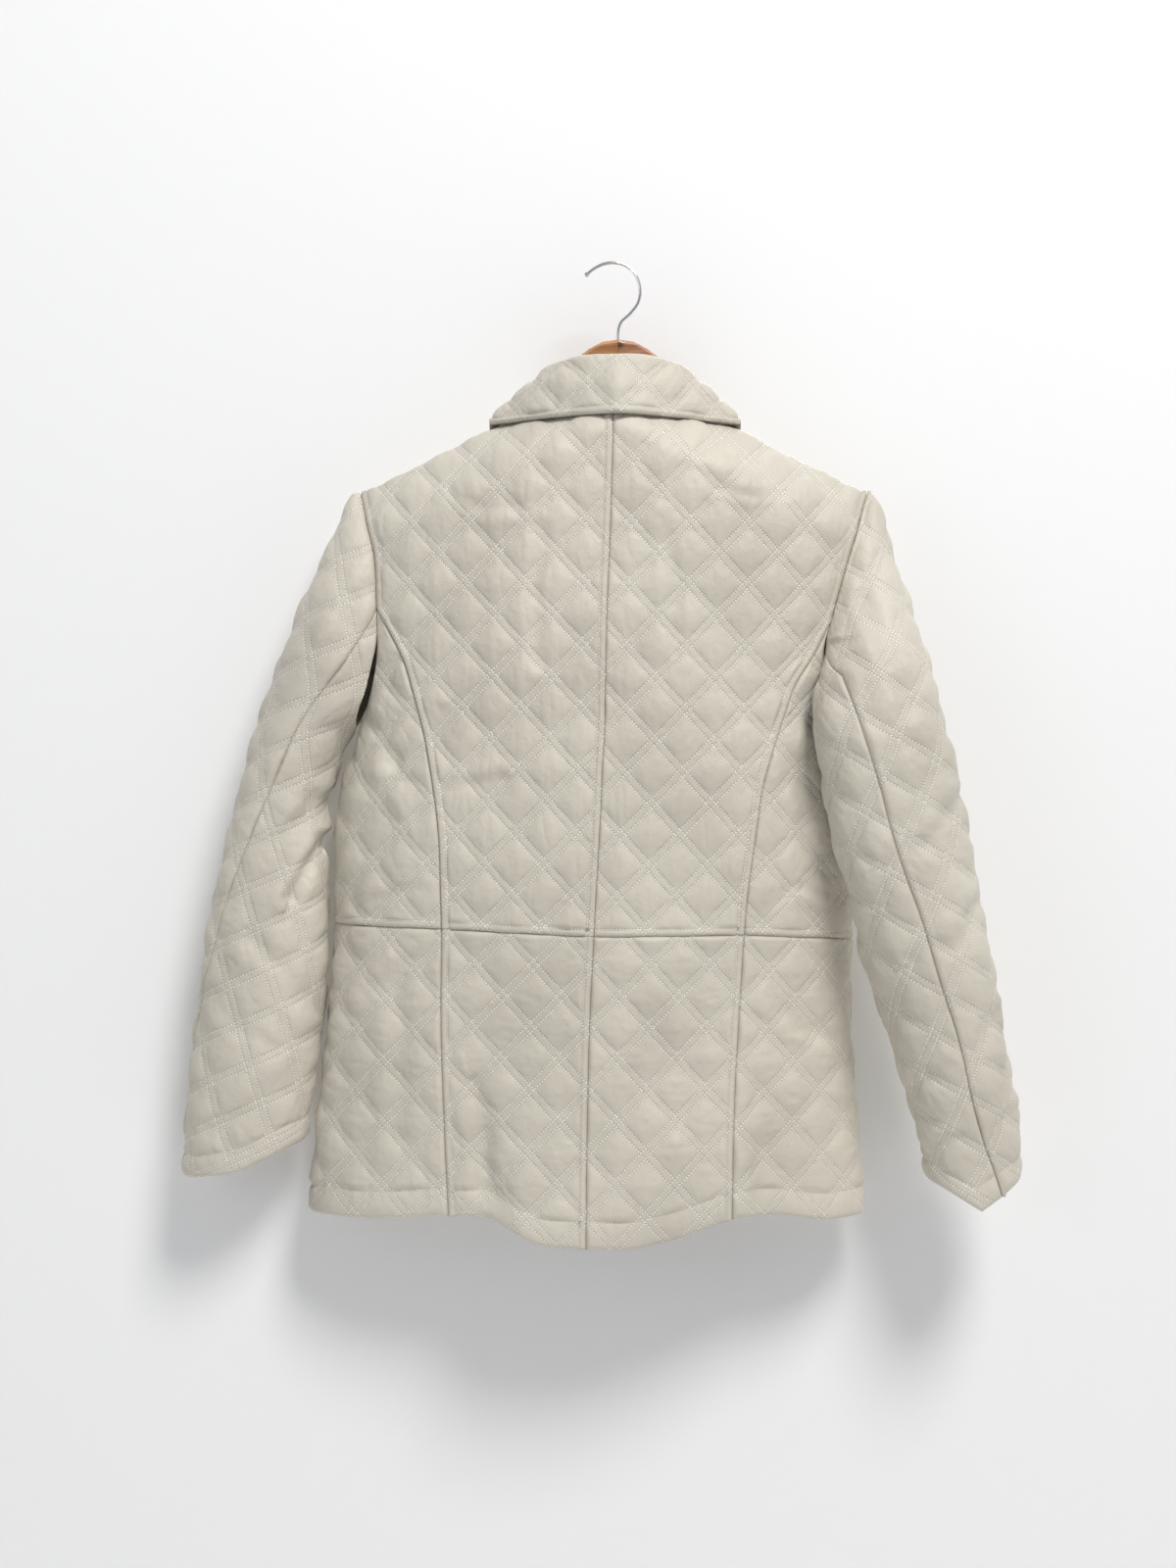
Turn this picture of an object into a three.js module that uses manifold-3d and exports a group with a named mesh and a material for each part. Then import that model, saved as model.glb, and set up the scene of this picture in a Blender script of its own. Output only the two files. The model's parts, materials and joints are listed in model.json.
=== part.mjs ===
// A quilted jacket hanging on a two-part wooden hanger with a wire hook.
// Millimetres. The origin is the inside of the hook's crown, up is +Z, the jacket's back faces -Y
// and the wearer's right is +X.
import * as THREE from 'three';
import { mergeVertices } from 'three/addons/utils/BufferGeometryUtils.js';
import Module from 'manifold-3d';

const wasm = await Module();
wasm.setup();

// Cloth and quilting
const SEAM_GAP = 0.3;
const WALL = 2.0;
const PILLOW = 2.6;
const DIAMOND_WIDE = 50.4;
const DIAMOND_TALL = 53.3;
const CLOTH = { color: '#cdc6b8', roughness: 0.55, metalness: 0 };
const WOOD = { color: '#a9642f', roughness: 0.35, metalness: 0 };
const STEEL = { color: '#c9cacb', roughness: 0.2, metalness: 1 };
const BUTTON = { color: '#b7ab98', roughness: 0.4, metalness: 0 };

// Shoulders and neck
const NECK_HALF = 72;
const NECK_Z = -128.5;
const FRONT_NECK_DROP = 46;
const SHOULDER_SLOPE = 0.48;
const SHOULDER_ROLL = 60;
const SHOULDER_TIP = 225;
const SHOULDER_FORWARD = 14;

// Front closing
const OVERLAP = 15;
const TUCK_START = 68;
const TUCK_END = 42;
const TUCK_DEPTH = 5.4;
const HEM_Z = -834;

// Rings of the body: centre line, half width, depth behind and in front of the side line.
const BODY = [
  { z: -80, centre: -1, half: 222, back: 58, front: 38 },
  { z: -200, centre: -4, half: 231, back: 62, front: 42 },
  { z: -260, centre: -6, half: 226, back: 64, front: 44 },
  { z: -307, centre: -8, half: 222, back: 66, front: 45 },
  { z: -380, centre: -9.5, half: 216, back: 66, front: 46 },
  { z: -412, centre: -10, half: 213, back: 66, front: 46 },
  { z: -445, centre: -12, half: 222, back: 66, front: 45 },
  { z: -474, centre: -13, half: 230, back: 65, front: 44 },
  { z: -583, centre: -19, half: 226, back: 62, front: 41 },
  { z: -669, centre: -23, half: 228.5, back: 58, front: 38 },
  { z: -760, centre: -25, half: 237, back: 55, front: 36 },
  { z: -860, centre: -26, half: 245, back: 52, front: 34 },
];
const BODY_SHAPE = { backPower: 2.4, frontPower: 2.8 };

// Rings of the sleeves: outer and inner edge in the view, depth line, depth behind and in front.
const LEFT_SLEEVE = [
  { z: -200, outer: -229, inner: -221, middle: 13, back: 5, front: 5 },
  { z: -222, outer: -240, inner: -205, middle: 12, back: 19, front: 17 },
  { z: -251, outer: -252, inner: -195, middle: 10, back: 33, front: 30 },
  { z: -297, outer: -273, inner: -194, middle: 8, back: 41, front: 36 },
  { z: -331, outer: -286, inner: -194, middle: 8, back: 43, front: 37 },
  { z: -381, outer: -304.5, inner: -203, middle: 9, back: 43, front: 37 },
  { z: -410, outer: -314, inner: -234, middle: 10, back: 42, front: 36 },
  { z: -440, outer: -323.5, inner: -246, middle: 12, back: 40, front: 36 },
  { z: -475, outer: -333, inner: -256, middle: 14, back: 38, front: 36 },
  { z: -558, outer: -352.5, inner: -256, middle: 16, back: 37, front: 36 },
  { z: -608, outer: -361, inner: -258, middle: 16, back: 37, front: 36 },
  { z: -659, outer: -367, inner: -262, middle: 16, back: 37, front: 36 },
  { z: -709, outer: -373.5, inner: -268, middle: 15, back: 36, front: 35 },
  { z: -760, outer: -378, inner: -275, middle: 14, back: 35, front: 34 },
  { z: -830, outer: -379, inner: -282, middle: 14, back: 34, front: 34 },
];
const RIGHT_SLEEVE = [
  { z: -200, outer: 227, inner: 218, middle: 13, back: 5, front: 5 },
  { z: -218, outer: 234, inner: 200, middle: 12, back: 17, front: 16 },
  { z: -241, outer: 240, inner: 190, middle: 10, back: 30, front: 28 },
  { z: -260, outer: 243.5, inner: 186, middle: 8, back: 37, front: 33 },
  { z: -300, outer: 254.5, inner: 180, middle: -6, back: 42, front: 36 },
  { z: -333, outer: 262, inner: 182, middle: -26, back: 44, front: 38 },
  { z: -346, outer: 265.5, inner: 180.5, middle: -37.5, back: 43, front: 36 },
  { z: -380, outer: 273, inner: 173, middle: -50, back: 42, front: 34 },
  { z: -410, outer: 278.5, inner: 170, middle: -58, back: 40, front: 29 },
  { z: -433, outer: 285, inner: 176, middle: -58, back: 40, front: 28 },
  { z: -467, outer: 291, inner: 181, middle: -56, back: 40, front: 28 },
  { z: -508, outer: 299.5, inner: 189, middle: -54, back: 40, front: 28 },
  { z: -573, outer: 311.5, inner: 207.5, middle: -50, back: 40, front: 29 },
  { z: -612, outer: 320, inner: 216, middle: -47, back: 40, front: 30 },
  { z: -658, outer: 328.5, inner: 232, middle: -43, back: 38, front: 32 },
  { z: -699, outer: 336, inner: 245.5, middle: -38, back: 37, front: 33 },
  { z: -760, outer: 346, inner: 264.5, middle: -32, back: 35, front: 33 },
  { z: -830, outer: 345, inner: 278, middle: -28, back: 33, front: 32 },
];
const SLEEVE_SHAPE = { backPower: 2.1, frontPower: 2.1 };

// Armhole line in the view, behind and in front, from the shoulder tip down to the pit.
const LEFT_ARMHOLE = [
  { z: -202, behind: -225, before: -225 },
  { z: -227, behind: -218.5, before: -215 },
  { z: -258, behind: -210, before: -204 },
  { z: -307, behind: -207.5, before: -205 },
  { z: -344, behind: -207.5, before: -206 },
  { z: -380, behind: -213, before: -212 },
  { z: -398, behind: -219, before: -219 },
];
const RIGHT_ARMHOLE = [
  { z: -202, behind: 223, before: 223 },
  { z: -227, behind: 214.5, before: 213 },
  { z: -258, behind: 203.5, before: 201 },
  { z: -307, behind: 189, before: 194 },
  { z: -344, behind: 180, before: 192 },
  { z: -380, behind: 186, before: 196 },
  { z: -398, behind: 196, before: 203 },
];
const ARMHOLE_TOP = -202;
const ARMHOLE_LOW = -398;
const PIT_Z = -410;
const PIT_SLACK = 8;
const ARMHOLE_EASE = 0.8;
const ARMHOLE_MIDDLE_Y = 12;
const ARMHOLE_MIDDLE_Z = -300;
const ARMHOLE_HALF_DEEP = 40;
const ARMHOLE_HALF_TALL = 100;

// Heights over which an effect grows or fades: where it starts and how far down it takes.
const SLACK_GROWS = { start: -325, over: 60 };
const PULL_FADES = { start: -350, over: 55 };
const COVER_PULL_FADES = { start: -330, over: 12 };
const PULL_REACH = { least: 8, most: 60 };
const LEAN_FADES = { start: -345, over: 40 };
const LEAN_ENDS = { start: -410, over: 60 };
const LEAN_WIDTH = 25;

// Side-panel seams in the view, from the armhole down to the hem.
const LEFT_PANEL_SEAM = [
  { z: -305.8, x: -207.5 },
  { z: -331.8, x: -191.5 },
  { z: -352.8, x: -181.4 },
  { z: -378, x: -173.9 },
  { z: -409, x: -165.5 },
  { z: -440, x: -159.6 },
  { z: -471, x: -154.6 },
  { z: -504, x: -151.2 },
  { z: -547.7, x: -149.9 },
  { z: -581, x: -149.1 },
  { z: -655, x: -149.9 },
  { z: -734, x: -147.8 },
  { z: -828, x: -143.6 },
];
const RIGHT_PANEL_SEAM = [
  { z: -316.7, x: 186.6 },
  { z: -331.8, x: 178.5 },
  { z: -347.8, x: 169.5 },
  { z: -367.9, x: 155.4 },
  { z: -394, x: 145.3 },
  { z: -425, x: 135.2 },
  { z: -455, x: 126 },
  { z: -486, x: 121 },
  { z: -522.5, x: 115.9 },
  { z: -553.6, x: 111.7 },
  { z: -586, x: 109.2 },
  { z: -640, x: 105.8 },
  { z: -742.6, x: 100.4 },
  { z: -828, x: 98.3 },
];

// Waist seam and hem in the view, from the left side seam to the right one.
const WAIST = { leftSide: -579, leftPanel: -581, middle: -587, rightPanel: -586, rightSide: -593 };
const HEM_LEFT = [
  { x: -215, z: -834 },
  { x: -180, z: -831 },
  { x: -143.6, z: -828 },
  { x: -108, z: -828 },
  { x: -66, z: -850 },
];
const HEM_RIGHT = [
  { x: 14, z: -853 },
  { x: 53, z: -844 },
  { x: 98.3, z: -828 },
  { x: 135, z: -828 },
  { x: 185, z: -836 },
];
const HEM_MIDDLE = -852;
const HEM_SWELL = 14;
const SWELL_GROWS = { start: -690, over: 140 };
const SWELL_LEFT = -118;
const SWELL_RIGHT = 100;
const SWELL_EDGE = 40;

// Sleeve seam that shows on the back, and the cuff's edge.
const LEFT_SLEEVE_SEAM = [
  { z: -352.8, x: -235 },
  { z: -402, x: -271 },
  { z: -450, x: -294 },
  { z: -500, x: -315.8 },
  { z: -548, x: -335 },
  { z: -595, x: -349.4 },
  { z: -643, x: -361 },
  { z: -687, x: -369 },
  { z: -734, x: -375.4 },
];
const RIGHT_SLEEVE_SEAM = [
  { z: -366, x: 190.7 },
  { z: -411, x: 205 },
  { z: -455, x: 219 },
  { z: -497, x: 230 },
  { z: -531, x: 241 },
  { z: -570, x: 255.4 },
  { z: -614, x: 268.8 },
  { z: -675, x: 289 },
  { z: -730, x: 302.4 },
  { z: -764, x: 312.5 },
];
const RIGHT_COVER_Z = -340;
const FRONT_SEAM_EASE = 0.4;
const FRONT_SEAM_BEND = -484;
const FRONT_SEAM_SWING = { over: 50, power: 0.7 };
const FRONT_EDGE_ROWS = [-260, -340, -412, -445, -474, -583, -669, -760];
const SHOULDER_SEAM_STOPS = [190, 152, 112];
const LEFT_CUFF = { outer: -803, middle: -795, inner: -769, seamX: -378 };
const RIGHT_CUFF = { outer: -797, middle: -821, inner: -797, seamX: 328 };
const SEAM_STEP = 20;
const FINE_STEP = 8;
const FINEST_STEP = 5;
const SIDE_SEAM_ROWS = [-445, -474, -510, -545, -620, -669, -715, -760];

// Collar: rows of the folded wall above the neck seam.
const COLLAR_COLUMNS = 28;
const COLLAR_END = 2.8;
const COLLAR_ROLL = { half: 60, behind: 46, before: 36, back: -91, side: -98, front: -158 };
const COLLAR_EDGE = { half: 110, back: -142, side: -147, front: -204 };
const COLLAR_FOLD = 1.2;
const COLLAR_CLEAR = 8;
const COLLAR_LIFT = 0.6;
const COLLAR_BULGE = 3;
const ROLL_DROP_POWER = 1.5;
const EDGE_POWER = 0.8;

// Buttons down the centre front
const BUTTON_ROWS = [-222, -345, -468, -591];
const BUTTON_RADIUS = 11;
const BUTTON_THICK = 3;

// Hanger: top line, height and thickness of an arm at distances from its middle.
const HANGER_MIDDLE = 2.5;
const HANGER_ARM = [
  { x: 0.15, top: -67, tall: 56, thick: 14 },
  { x: 14, top: -69, tall: 56, thick: 14 },
  { x: 26, top: -75.5, tall: 54, thick: 14 },
  { x: 38, top: -84.5, tall: 52, thick: 14 },
  { x: 46, top: -93, tall: 48, thick: 14 },
  { x: 54, top: -119, tall: 34, thick: 14 },
  { x: 63, top: -139, tall: 29, thick: 14 },
  { x: 112, top: -160.5, tall: 27, thick: 14 },
  { x: 160, top: -181.5, tall: 26, thick: 15 },
  { x: 200, top: -201, tall: 23, thick: 16 },
  { x: 209, top: -208, tall: 13, thick: 12 },
];
const STEM_HOLE = { radius: 1.9, depth: 14 };
const WIRE_RADIUS = 1.45;
const BALL_RADIUS = 2.3;
const HOOK_PATH = [
  { x: -25, z: -9 },
  { x: -18.5, z: -3.8 },
  { x: -10, z: 0.4 },
  { x: 0, z: 1.45 },
  { x: 10, z: -1.5 },
  { x: 18, z: -9.5 },
  { x: 21.8, z: -22 },
  { x: 20, z: -34 },
  { x: 12.5, z: -44 },
  { x: 5, z: -51 },
  { x: 2.5, z: -59 },
  { x: 2.5, z: -79 },
];

const RING_STEPS = 120;

function smooth(share) {
  const t = Math.min(1, Math.max(0, share));
  return t * t * (3 - 2 * t);
}

// From 0 at the start height to 1 at the lower end.
function goingDown(z, { start, over }) {
  return smooth((start - z) / over);
}

// Smooth lookup in a table whose rows run downwards in z.
function lookUp(rows, z, column) {
  const last = rows.length - 1;
  if (z >= rows[0].z) return rows[0][column];
  if (z <= rows[last].z) return rows[last][column];
  let row = 0;
  while (z < rows[row + 1].z) row += 1;
  const step = rows[row].z - rows[row + 1].z;
  const slope = (k) => {
    const above = rows[Math.max(k - 1, 0)];
    const below = rows[Math.min(k + 1, last)];
    return ((below[column] - above[column]) / (above.z - below.z)) * step;
  };
  const t = (rows[row].z - z) / step;
  const t2 = t * t;
  const t3 = t2 * t;
  return rows[row][column] * (2 * t3 - 3 * t2 + 1) + slope(row) * (t3 - 2 * t2 + t)
    + rows[row + 1][column] * (3 * t2 - 2 * t3) + slope(row + 1) * (t3 - t2);
}

function forward(x) {
  return SHOULDER_FORWARD * Math.min(1.4, (x / SHOULDER_TIP) ** 2);
}

function shoulderLine(x) {
  return NECK_Z - SHOULDER_SLOPE * (Math.abs(x) - NECK_HALF);
}

function shoulderRoll(x, z) {
  const below = (shoulderLine(x) - z) / SHOULDER_ROLL;
  return Math.sin(Math.PI / 2 * Math.min(1, Math.max(0, below)));
}

// A ring at one height: distance round it against the angle, which turns from +X towards +Y.
function ringTable(level, startAngle) {
  const arc = [];
  const points = [];
  for (let i = -RING_STEPS; i <= RING_STEPS; i += 1) {
    const angle = startAngle + Math.PI * i / RING_STEPS;
    const isBack = Math.sin(angle) < 0;
    const power = 2 / (isBack ? level.backPower : level.frontPower);
    const cos = Math.cos(angle);
    const sin = Math.sin(angle);
    points.push({
      x: level.centre + level.half * Math.sign(cos) * Math.abs(cos) ** power,
      y: level.middle + (isBack ? level.back : level.front) * Math.sign(sin) * Math.abs(sin) ** power,
    });
  }
  let travelled = 0;
  for (let i = 0; i < points.length; i += 1) {
    if (i > 0) travelled += Math.hypot(points[i].x - points[i - 1].x, points[i].y - points[i - 1].y);
    arc.push(travelled);
  }
  const origin = arc[RING_STEPS];
  return { level, startAngle, points, arc: arc.map((distance) => distance - origin) };
}

function alongRing(ring, distance) {
  const { arc, points } = ring;
  const last = arc.length - 1;
  const whole = arc[last] - arc[0];
  let wanted = distance;
  if (wanted > arc[last]) wanted -= whole;
  if (wanted < arc[0]) wanted += whole;
  let low = 0;
  let high = last;
  while (high - low > 1) {
    const half = (low + high) >> 1;
    if (arc[half] <= wanted) low = half;
    else high = half;
  }
  const share = (wanted - arc[low]) / (arc[high] - arc[low]);
  return {
    x: points[low].x + (points[high].x - points[low].x) * share,
    y: points[low].y + (points[high].y - points[low].y) * share,
  };
}

// Distance round a ring to the place whose x is given, behind or before the side line.
function distanceTo(ring, x, isBack) {
  const { level } = ring;
  const power = 2 / (isBack ? level.backPower : level.frontPower);
  const offset = Math.min(1, Math.max(-1, (x - level.centre) / level.half));
  const cos = Math.sign(offset) * Math.abs(offset) ** (1 / power);
  let angle = isBack ? -Math.acos(cos) : Math.acos(cos);
  while (angle < ring.startAngle - Math.PI - 1e-9) angle += 2 * Math.PI;
  while (angle > ring.startAngle + Math.PI + 1e-9) angle -= 2 * Math.PI;
  const place = (angle - ring.startAngle) / Math.PI * RING_STEPS + RING_STEPS;
  const low = Math.min(2 * RING_STEPS - 1, Math.max(0, Math.floor(place)));
  return ring.arc[low] + (ring.arc[low + 1] - ring.arc[low]) * (place - low);
}

function levelDepth(level, x, isBack) {
  const power = isBack ? level.backPower : level.frontPower;
  const offset = Math.min(1, Math.abs((x - level.centre) / level.half));
  return (isBack ? -level.back : level.front) * (1 - offset ** power) ** (1 / power);
}

function bodyLevel(z) {
  return {
    centre: lookUp(BODY, z, 'centre'),
    half: lookUp(BODY, z, 'half'),
    middle: 0,
    back: lookUp(BODY, z, 'back'),
    front: lookUp(BODY, z, 'front'),
    ...BODY_SHAPE,
  };
}

function bodyRing(z) {
  return ringTable(bodyLevel(z), -Math.PI / 2);
}

// The middle of the back's hem swells out between two soft folds.
function hemSwell(x, z) {
  const fromLeft = smooth((x - SWELL_LEFT) / SWELL_EDGE);
  const toRight = 1 - smooth((x - SWELL_RIGHT) / SWELL_EDGE);
  return HEM_SWELL * goingDown(z, SWELL_GROWS) * fromLeft * toRight;
}

function bodySurface(s, z) {
  const { x, y } = alongRing(bodyRing(z), s);
  const depth = y * shoulderRoll(x, z);
  const swell = y < 0 ? hemSwell(x, z) : 0;
  return new THREE.Vector3(x, forward(x) + depth - swell, z);
}

function armholeX(side, z, isBack) {
  return lookUp(side.armhole, z, isBack ? 'behind' : 'before');
}

function sleeveLevel(side, z) {
  const outer = lookUp(side.rows, z, 'outer');
  const inner = lookUp(side.rows, z, 'inner');
  return {
    centre: (outer + inner) / 2,
    half: Math.abs(outer - inner) / 2,
    middle: lookUp(side.rows, z, 'middle'),
    back: lookUp(side.rows, z, 'back'),
    front: lookUp(side.rows, z, 'front'),
    ...SLEEVE_SHAPE,
  };
}

// Near the armhole the sleeve's depth is drawn to the body's, so that the two edges meet.
function armholePull(side, level, x, z, isBack) {
  const coversBody = side === RIGHT && isBack;
  const fade = 1 - goingDown(z, coversBody ? COVER_PULL_FADES : PULL_FADES);
  if (fade === 0) return 0;
  const edgeX = armholeX(side, z, isBack);
  const bodyDepth = levelDepth(bodyLevel(z), edgeX, isBack) * shoulderRoll(edgeX, z);
  const wanted = forward(edgeX) + bodyDepth;
  const found = level.middle + levelDepth(level, edgeX, isBack);
  const outer = level.centre + side.sign * level.half;
  const reach = Math.min(PULL_REACH.most, Math.max(PULL_REACH.least, Math.abs(outer - edgeX)));
  const near = 1 - Math.min(1, Math.abs(x - edgeX) / reach);
  return (wanted - found) * near * near * fade;
}

function sleeveSurface(side) {
  return (s, z) => {
    const level = sleeveLevel(side, z);
    const { x, y } = alongRing(ringTable(level, -Math.PI / 2), s);
    return new THREE.Vector3(x, y + armholePull(side, level, x, z, y < level.middle), z);
  };
}

function normalAt(surface, s, z) {
  const along = surface(s + 1, z).sub(surface(s - 1, z));
  const up = surface(s, z + 1).sub(surface(s, z - 1));
  return along.cross(up).normalize();
}

// At the armhole both walls take their thickness in one direction, square to the seam.
function leanAtArmhole(normal, point) {
  const side = point.x < 0 ? LEFT : RIGHT;
  const isBack = point.y < ARMHOLE_MIDDLE_Y;
  const distance = Math.abs(point.x - armholeX(side, point.z, isBack));
  const upper = (1 - goingDown(point.z, LEAN_FADES)) * (1 - goingDown(point.z, LEAN_ENDS));
  const amount = (1 - smooth(distance / LEAN_WIDTH)) * upper;
  if (amount === 0) return normal;
  const deep = (point.y - ARMHOLE_MIDDLE_Y) / ARMHOLE_HALF_DEEP;
  const high = Math.max(0, (point.z - ARMHOLE_MIDDLE_Z) / ARMHOLE_HALF_TALL);
  const common = new THREE.Vector3(0, deep ** 3 / ARMHOLE_HALF_DEEP, high ** 3 / ARMHOLE_HALF_TALL)
    .normalize();
  return normal.clone().lerp(common, amount).normalize();
}

function placeOn(surface, s, z, out) {
  const point = surface(s, z);
  const direction = leanAtArmhole(normalAt(surface, s, z), point);
  return point.addScaledVector(direction, out);
}

function toManifold(geometry) {
  const bare = geometry.clone();
  bare.deleteAttribute('normal');
  bare.deleteAttribute('uv');
  const merged = mergeVertices(bare, 1e-4);
  return new wasm.Manifold(new wasm.Mesh({
    numProp: 3,
    vertProperties: new Float32Array(merged.attributes.position.array),
    triVerts: new Uint32Array(merged.index.array),
  }));
}

function toGeometry(solid) {
  const mesh = solid.getMesh();
  const positions = [];
  for (let i = 0; i < mesh.numVert; i += 1) {
    positions.push(...mesh.vertProperties.subarray(i * mesh.numProp, i * mesh.numProp + 3));
  }
  const geometry = new THREE.BufferGeometry();
  geometry.setAttribute('position', new THREE.Float32BufferAttribute(positions, 3));
  geometry.setIndex([...mesh.triVerts]);
  return geometry;
}

// A closed wall between two grids of points with the same rows and columns.
function closedWall(inner, outer, isStitch) {
  const rows = inner.length;
  const columns = inner[0].length;
  const positions = [];
  for (const grid of [inner, outer]) {
    for (const row of grid) {
      for (const point of row) positions.push(point.x, point.y, point.z);
    }
  }
  const at = (layer, row, column) => (layer * rows + row) * columns + column;
  const faces = [];
  for (let row = 0; row + 1 < rows; row += 1) {
    for (let column = 0; column + 1 < columns; column += 1) {
      for (const layer of [0, 1]) {
        const a = at(layer, row, column);
        const b = at(layer, row, column + 1);
        const c = at(layer, row + 1, column + 1);
        const d = at(layer, row + 1, column);
        const halves = isStitch(row, column) ? [[a, b, c], [a, c, d]] : [[a, b, d], [b, c, d]];
        for (const [i, j, k] of halves) faces.push(...(layer === 1 ? [i, j, k] : [i, k, j]));
      }
    }
  }
  const rim = [];
  for (let column = 0; column + 1 < columns; column += 1) rim.push([0, column, 0, column + 1]);
  for (let row = 0; row + 1 < rows; row += 1) rim.push([row, columns - 1, row + 1, columns - 1]);
  for (let column = columns - 1; column > 0; column -= 1) {
    rim.push([rows - 1, column, rows - 1, column - 1]);
  }
  for (let row = rows - 1; row > 0; row -= 1) rim.push([row, 0, row - 1, 0]);
  for (const [row, column, nextRow, nextColumn] of rim) {
    const a = at(0, row, column);
    const b = at(0, nextRow, nextColumn);
    const c = at(1, nextRow, nextColumn);
    const d = at(1, row, column);
    faces.push(a, b, c, a, c, d);
  }
  const geometry = new THREE.BufferGeometry();
  geometry.setAttribute('position', new THREE.Float32BufferAttribute(positions, 3));
  geometry.setIndex(faces);
  return geometry;
}

// A flat quilted layer that covers an outline: stitch crossings low, diamond middles raised.
function quiltLayer(outline, lattice) {
  const cos = Math.cos(lattice.turn);
  const sin = Math.sin(lattice.turn);
  const stepS = DIAMOND_WIDE / 2;
  const stepZ = DIAMOND_TALL / 2;
  const columns = outline.map(({ s, z }) => ((s - lattice.s) * cos + (z - lattice.z) * sin) / stepS);
  const rows = outline.map(({ s, z }) => ((z - lattice.z) * cos - (s - lattice.s) * sin) / stepZ);
  const firstColumn = Math.floor(Math.min(...columns)) - 1;
  const lastColumn = Math.ceil(Math.max(...columns)) + 1;
  const firstRow = Math.floor(Math.min(...rows)) - 1;
  const lastRow = Math.ceil(Math.max(...rows)) + 1;
  const inner = [];
  const outer = [];
  for (let row = firstRow; row <= lastRow; row += 1) {
    const innerRow = [];
    const outerRow = [];
    for (let column = firstColumn; column <= lastColumn; column += 1) {
      const isMiddle = (row + column) % 2 !== 0;
      const s = lattice.s + column * stepS * cos - row * stepZ * sin;
      const z = lattice.z + column * stepS * sin + row * stepZ * cos;
      innerRow.push(new THREE.Vector3(s, z, isMiddle ? -0.02 : 0));
      outerRow.push(new THREE.Vector3(s, z, isMiddle ? WALL + PILLOW : WALL));
    }
    inner.push(innerRow);
    outer.push(outerRow);
  }
  return closedWall(inner, outer, (row, column) => (row + firstRow + column + firstColumn) % 2 === 0);
}

// Moves every side of a closed outline inwards.
function insetOutline(outline, distance) {
  const points = outline.map(({ s, z }) => new THREE.Vector2(s, z));
  if (THREE.ShapeUtils.area(points) < 0) points.reverse();
  return points.map((point, i) => {
    const before = points[(i + points.length - 1) % points.length];
    const after = points[(i + 1) % points.length];
    const a = point.clone().sub(before).normalize();
    const b = after.clone().sub(point).normalize();
    const inwards = new THREE.Vector2(-a.y - b.y, a.x + b.x).normalize();
    const stretch = 1 / Math.max(0.3, inwards.dot(new THREE.Vector2(-a.y, a.x)));
    return point.clone().addScaledVector(inwards, distance * stretch);
  });
}

function namedMesh(name, geometry, look) {
  const material = new THREE.MeshStandardMaterial(look);
  material.name = `${name}_surface`;
  geometry.computeVertexNormals();
  const mesh = new THREE.Mesh(geometry, material);
  mesh.name = name;
  return mesh;
}

// Cuts a panel from the quilted layer and lays it on its surface.
function quiltPanel(name, outline, lattice, surface, tuck = () => 0) {
  const shape = new THREE.Shape(insetOutline(outline, SEAM_GAP / 2));
  const cutter = new THREE.ExtrudeGeometry(shape, { depth: 20, bevelEnabled: false });
  cutter.translate(0, 0, -8);
  const flat = toManifold(quiltLayer(outline, lattice)).intersect(toManifold(cutter));
  const geometry = toGeometry(flat);
  const position = geometry.attributes.position;
  for (let i = 0; i < position.count; i += 1) {
    const s = position.getX(i);
    const z = position.getY(i);
    const placed = placeOn(surface, s, z, position.getZ(i) - tuck(s, z));
    position.setXYZ(i, placed.x, placed.y, placed.z);
  }
  return namedMesh(name, geometry, CLOTH);
}

const FRONT_RIGHT_LATTICE = { s: 450, z: -311.6, turn: 0 };
const LEFT = { sign: -1, rows: LEFT_SLEEVE, armhole: LEFT_ARMHOLE, seamTop: -307 };
const RIGHT = { sign: 1, rows: RIGHT_SLEEVE, armhole: RIGHT_ARMHOLE, seamTop: -344 };

function onBody(x, z, isBack) {
  return { s: distanceTo(bodyRing(z), x, isBack), z };
}

function sideSeam(side, z) {
  const ring = bodyRing(z);
  return { s: distanceTo(ring, ring.level.centre + side.sign * ring.level.half, true), z };
}

// The side seam from one height down to another, both included.
function sideSeamRun(side, fromZ, toZ) {
  const between = SIDE_SEAM_ROWS.filter((z) => z < fromZ - 1 && z > toZ + 1);
  return [fromZ, ...between, toZ].map((z) => sideSeam(side, z));
}

function waistPoints(side) {
  const isLeft = side === LEFT;
  const seam = isLeft ? LEFT_PANEL_SEAM : RIGHT_PANEL_SEAM;
  const panelZ = isLeft ? WAIST.leftPanel : WAIST.rightPanel;
  const sideZ = isLeft ? WAIST.leftSide : WAIST.rightSide;
  return {
    middle: { s: 0, z: WAIST.middle },
    panel: onBody(lookUp(seam, panelZ, 'x'), panelZ, true),
    side: sideSeam(side, sideZ),
  };
}

// Evenly spaced heights from one to another, both included.
function heights(fromZ, toZ, step = SEAM_STEP) {
  const count = Math.max(1, Math.round((fromZ - toZ) / step));
  return Array.from({ length: count + 1 }, (_, i) => fromZ + (toZ - fromZ) * i / count);
}

function armholePoints(side, isBack, fromZ, toZ) {
  return heights(fromZ, toZ, FINE_STEP).map((z) => onBody(armholeX(side, z, isBack), z, isBack));
}

// From the shoulder tip to the neck point.
function shoulderPoints(side, isBack) {
  const points = [];
  for (const distance of [...SHOULDER_SEAM_STOPS, NECK_HALF]) {
    points.push(onBody(side.sign * distance, shoulderLine(distance), isBack));
  }
  return points;
}

function panelSeam(rows, fromZ, toZ) {
  return rows.filter(({ z }) => z <= fromZ && z >= toZ).map(({ x, z }) => onBody(x, z, true));
}

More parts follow.
